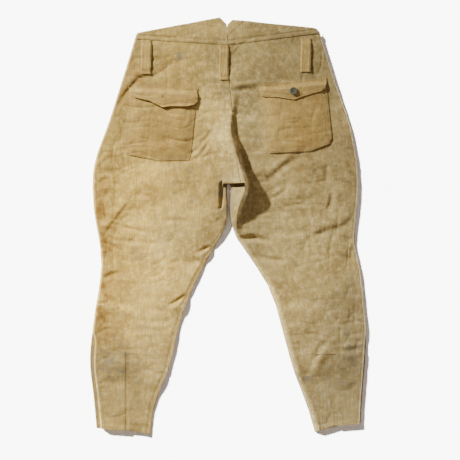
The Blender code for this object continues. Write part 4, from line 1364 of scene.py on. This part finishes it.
for name, side in SIDE.items():
    for gap in POCKET_STITCHES:
        px, py = inside(pocket_grid[side], gap, 90)
        sew("trousers", px, py, pocket_top(side, px, py) + 0.0003)
    for gap in FLAP_STITCHES:
        px, py = inside(flap_grid[side], gap, 80, top_share=0.62)
        sew(name + "_pocket_flap", px, py, flap_top(side, px, py) - 0.0003)
    fold = np.array([at_fold(side, out, -0.0035) for out in np.linspace(-0.082, 0.082, 90)])
    sew("trousers", fold[:, 0], fold[:, 1], flap_top(side, fold[:, 0], fold[:, 1]))
    seam_line = np.linspace(0.004, 0.996, 120)
    outer_x = OUTER_SEAM[side](YOKE_SEAM_OUTER[side])
    for up in (0.003, YOKE_STITCHES):
        px = lerp(outer_x, 0.0, seam_line)
        py = lerp(YOKE_SEAM_OUTER[side], YOKE_SEAM_CENTRE, seam_line) + up
        sew("trousers", px, py, yoke_top(side, px, py))
    top_line = spaced(metres(YOKE_TOP[side][:4]), 140)[6:-4]
    px, py = top_line[:, 0], top_line[:, 1] - 0.005
    sew("trousers", px, py, yoke_top(side, px, py) - 0.0002)
    hem_end = INNER_SEAM[side](HEM_INNER[side] + 0.02) + side * 0.004
    hem_x = np.linspace(FACING_SEAM[side] - side * 0.002, hem_end, 60)
    hem_y = hem_line(side, hem_x) + HEM_FOLD
    sew("trousers", hem_x, hem_y, surface(side, hem_x, hem_y) + hem_fold(side, hem_x, hem_y))
    leg_y = np.linspace(HEM_INNER[side] + 0.02, CROTCH - 0.02, 220)
    leg_x = INNER_SEAM[side](leg_y) + side * 0.0085
    sew("trousers", leg_x, leg_y, surface(side, leg_x, leg_y))
    hinge_x = joints[name + "_vent_hinge"]["pos_m"][0]
    seam_y = np.linspace(HEM_OUTER[side] + 0.002, FACING_TOP - 0.005, 80)
    seam_x = np.full(80, FACING_SEAM[side] + side * 0.0025)
    sew("trousers", seam_x, seam_y, facing_top(side, seam_x, seam_y))
    edge_y = np.linspace(HEM_OUTER[side] + 0.003, FACING_TOP - 0.004, 80)
    edge_x = back_edge(side, edge_y) - side * 0.006
    sew(name + "_vent_flap", edge_x, edge_y, facing_top(side, edge_x, edge_y))
    top_x = np.linspace(FACING_SEAM[side] + side * 0.003, hinge_x - side * 0.006, 16)
    top_y = np.full(16, FACING_TOP - 0.006)
    sew("trousers", top_x, top_y, facing_top(side, top_x, top_y))

seat_y = np.linspace(SEAT_FOOT + 0.003, YOKE_SEAM_CENTRE - 0.001, 200)
for away in (0.0025, 0.0085):
    seat_x = SEAT_SEAM(seat_y) - away
    sew("trousers", seat_x, seat_y, surface(-1, seat_x, seat_y) + 0.0006 * (away < 0.007))
strip_y = np.linspace(HEM_OUTER[-1] + 0.004, FACING_TOP - 0.004, 70)
strip_x = OUTER_SEAM[-1](strip_y) + 0.004
sew("trousers", strip_x, strip_y, np.full(70, CLOTH))
for px, py, top in loop_rows:
    sew("trousers", px, py, top)


def stitch_nodes():
    """Stitches along the lines of a mesh."""
    tree = bpy.data.node_groups.new("rows_of_stitches", "GeometryNodeTree")
    face = tree.interface
    sizes = (("Stitch length", STITCH), ("Gap", STITCH_GAP), ("Thickness", STITCH_THICK))
    face.new_socket("Lines", in_out="INPUT", socket_type="NodeSocketGeometry")
    for label, size in sizes:
        face.new_socket(label, in_out="INPUT", socket_type="NodeSocketFloat").default_value = size
    face.new_socket("Seed", in_out="INPUT", socket_type="NodeSocketInt").default_value = STITCH_SEED
    face.new_socket("Thread", in_out="INPUT", socket_type="NodeSocketMaterial")
    face.new_socket("Stitches", in_out="OUTPUT", socket_type="NodeSocketGeometry")
    node = tree.nodes.new
    join = tree.links.new
    given, result = node("NodeGroupInput"), node("NodeGroupOutput")
    step = node("ShaderNodeMath")
    join(given.outputs["Stitch length"], step.inputs[0])
    join(given.outputs["Gap"], step.inputs[1])
    curve = node("GeometryNodeMeshToCurve")
    join(given.outputs["Lines"], curve.inputs["Mesh"])
    even = node("GeometryNodeResampleCurve")
    even.mode = "LENGTH"
    join(curve.outputs[0], even.inputs["Curve"])
    join(step.outputs[0], even.inputs["Length"])
    tangent = node("GeometryNodeInputTangent")
    turn = node("FunctionNodeAlignRotationToVector")
    turn.axis = "X"
    join(tangent.outputs[0], turn.inputs["Vector"])
    ball = node("GeometryNodeMeshIcoSphere")
    ball.inputs["Radius"].default_value = 0.5
    ball.inputs["Subdivisions"].default_value = 1
    size = node("ShaderNodeCombineXYZ")
    join(given.outputs["Stitch length"], size.inputs[0])
    double = node("ShaderNodeMath")
    double.operation = "MULTIPLY"
    double.inputs[1].default_value = 2.0
    join(given.outputs["Thickness"], double.inputs[0])
    join(double.outputs[0], size.inputs[1])
    join(double.outputs[0], size.inputs[2])
    long = node("GeometryNodeTransform")
    join(ball.outputs[0], long.inputs["Geometry"])
    join(size.outputs[0], long.inputs["Scale"])
    vary = node("FunctionNodeRandomValue")
    vary.inputs[2].default_value = 0.85
    vary.inputs[3].default_value = 1.15
    join(given.outputs["Seed"], vary.inputs["Seed"])
    put = node("GeometryNodeInstanceOnPoints")
    join(even.outputs[0], put.inputs["Points"])
    join(long.outputs[0], put.inputs["Instance"])
    join(turn.outputs[0], put.inputs["Rotation"])
    join(vary.outputs[1], put.inputs["Scale"])
    real = node("GeometryNodeRealizeInstances")
    join(put.outputs[0], real.inputs[0])
    thread = node("GeometryNodeSetMaterial")
    join(real.outputs[0], thread.inputs["Geometry"])
    join(given.outputs["Thread"], thread.inputs["Material"])
    join(thread.outputs[0], result.inputs[0])
    return tree


tree = stitch_nodes()
sockets = {item.name: item.identifier for item in tree.interface.items_tree if item.in_out == "INPUT"}
for body, lines in rows_on.items():
    mesh = bpy.data.meshes.new("stitches_" + body)
    points, edges = [], []
    for line in lines:
        start = len(points)
        points += line.tolist()
        edges += [(start + i, start + i + 1) for i in range(len(line) - 1)]
    mesh.from_pydata(points, edges, [])
    made = bpy.data.objects.new("stitches_" + body, mesh)
    bpy.context.scene.collection.objects.link(made)
    sewing = made.modifiers.new("sewing", "NODES")
    sewing.node_group = tree
    sewing[sockets["Stitch length"]] = STITCH
    sewing[sockets["Gap"]] = STITCH_GAP
    sewing[sockets["Thickness"]] = STITCH_THICK
    sewing[sockets["Seed"]] = STITCH_SEED
    sewing[sockets["Thread"]] = finishes["thread"]
    applied(made)
    made.data.shade_smooth()
    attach(made, body)
    print(made.name, len(made.data.polygons), "faces")

# %% [markdown]
# ## Buttons
# The buttons are hard and turned, so the model's own shapes stay, and only their finish is made here.

# %% Buttons
BUTTON_FINISH = {
    "pocket_button": "horn", "button_thread": "thread", "fly_button": "brass", "waist_button": "brass",
}
for name, shape in nodes.items():
    for part, finish in BUTTON_FINISH.items():
        if name.startswith(part):
            for slot in shape.material_slots:
                slot.material = finishes[finish]

# %% [markdown]
# ## The size of the model and of the cloth

# %% The size of the model and of the cloth
VISUAL_BOX = [list(corner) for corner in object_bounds()]
for label, (low, high) in (("model", CAD_BOX), ("visual", VISUAL_BOX)):
    print(label, "box in mm:", [round(1000 * v, 1) for v in (*low, *high)])
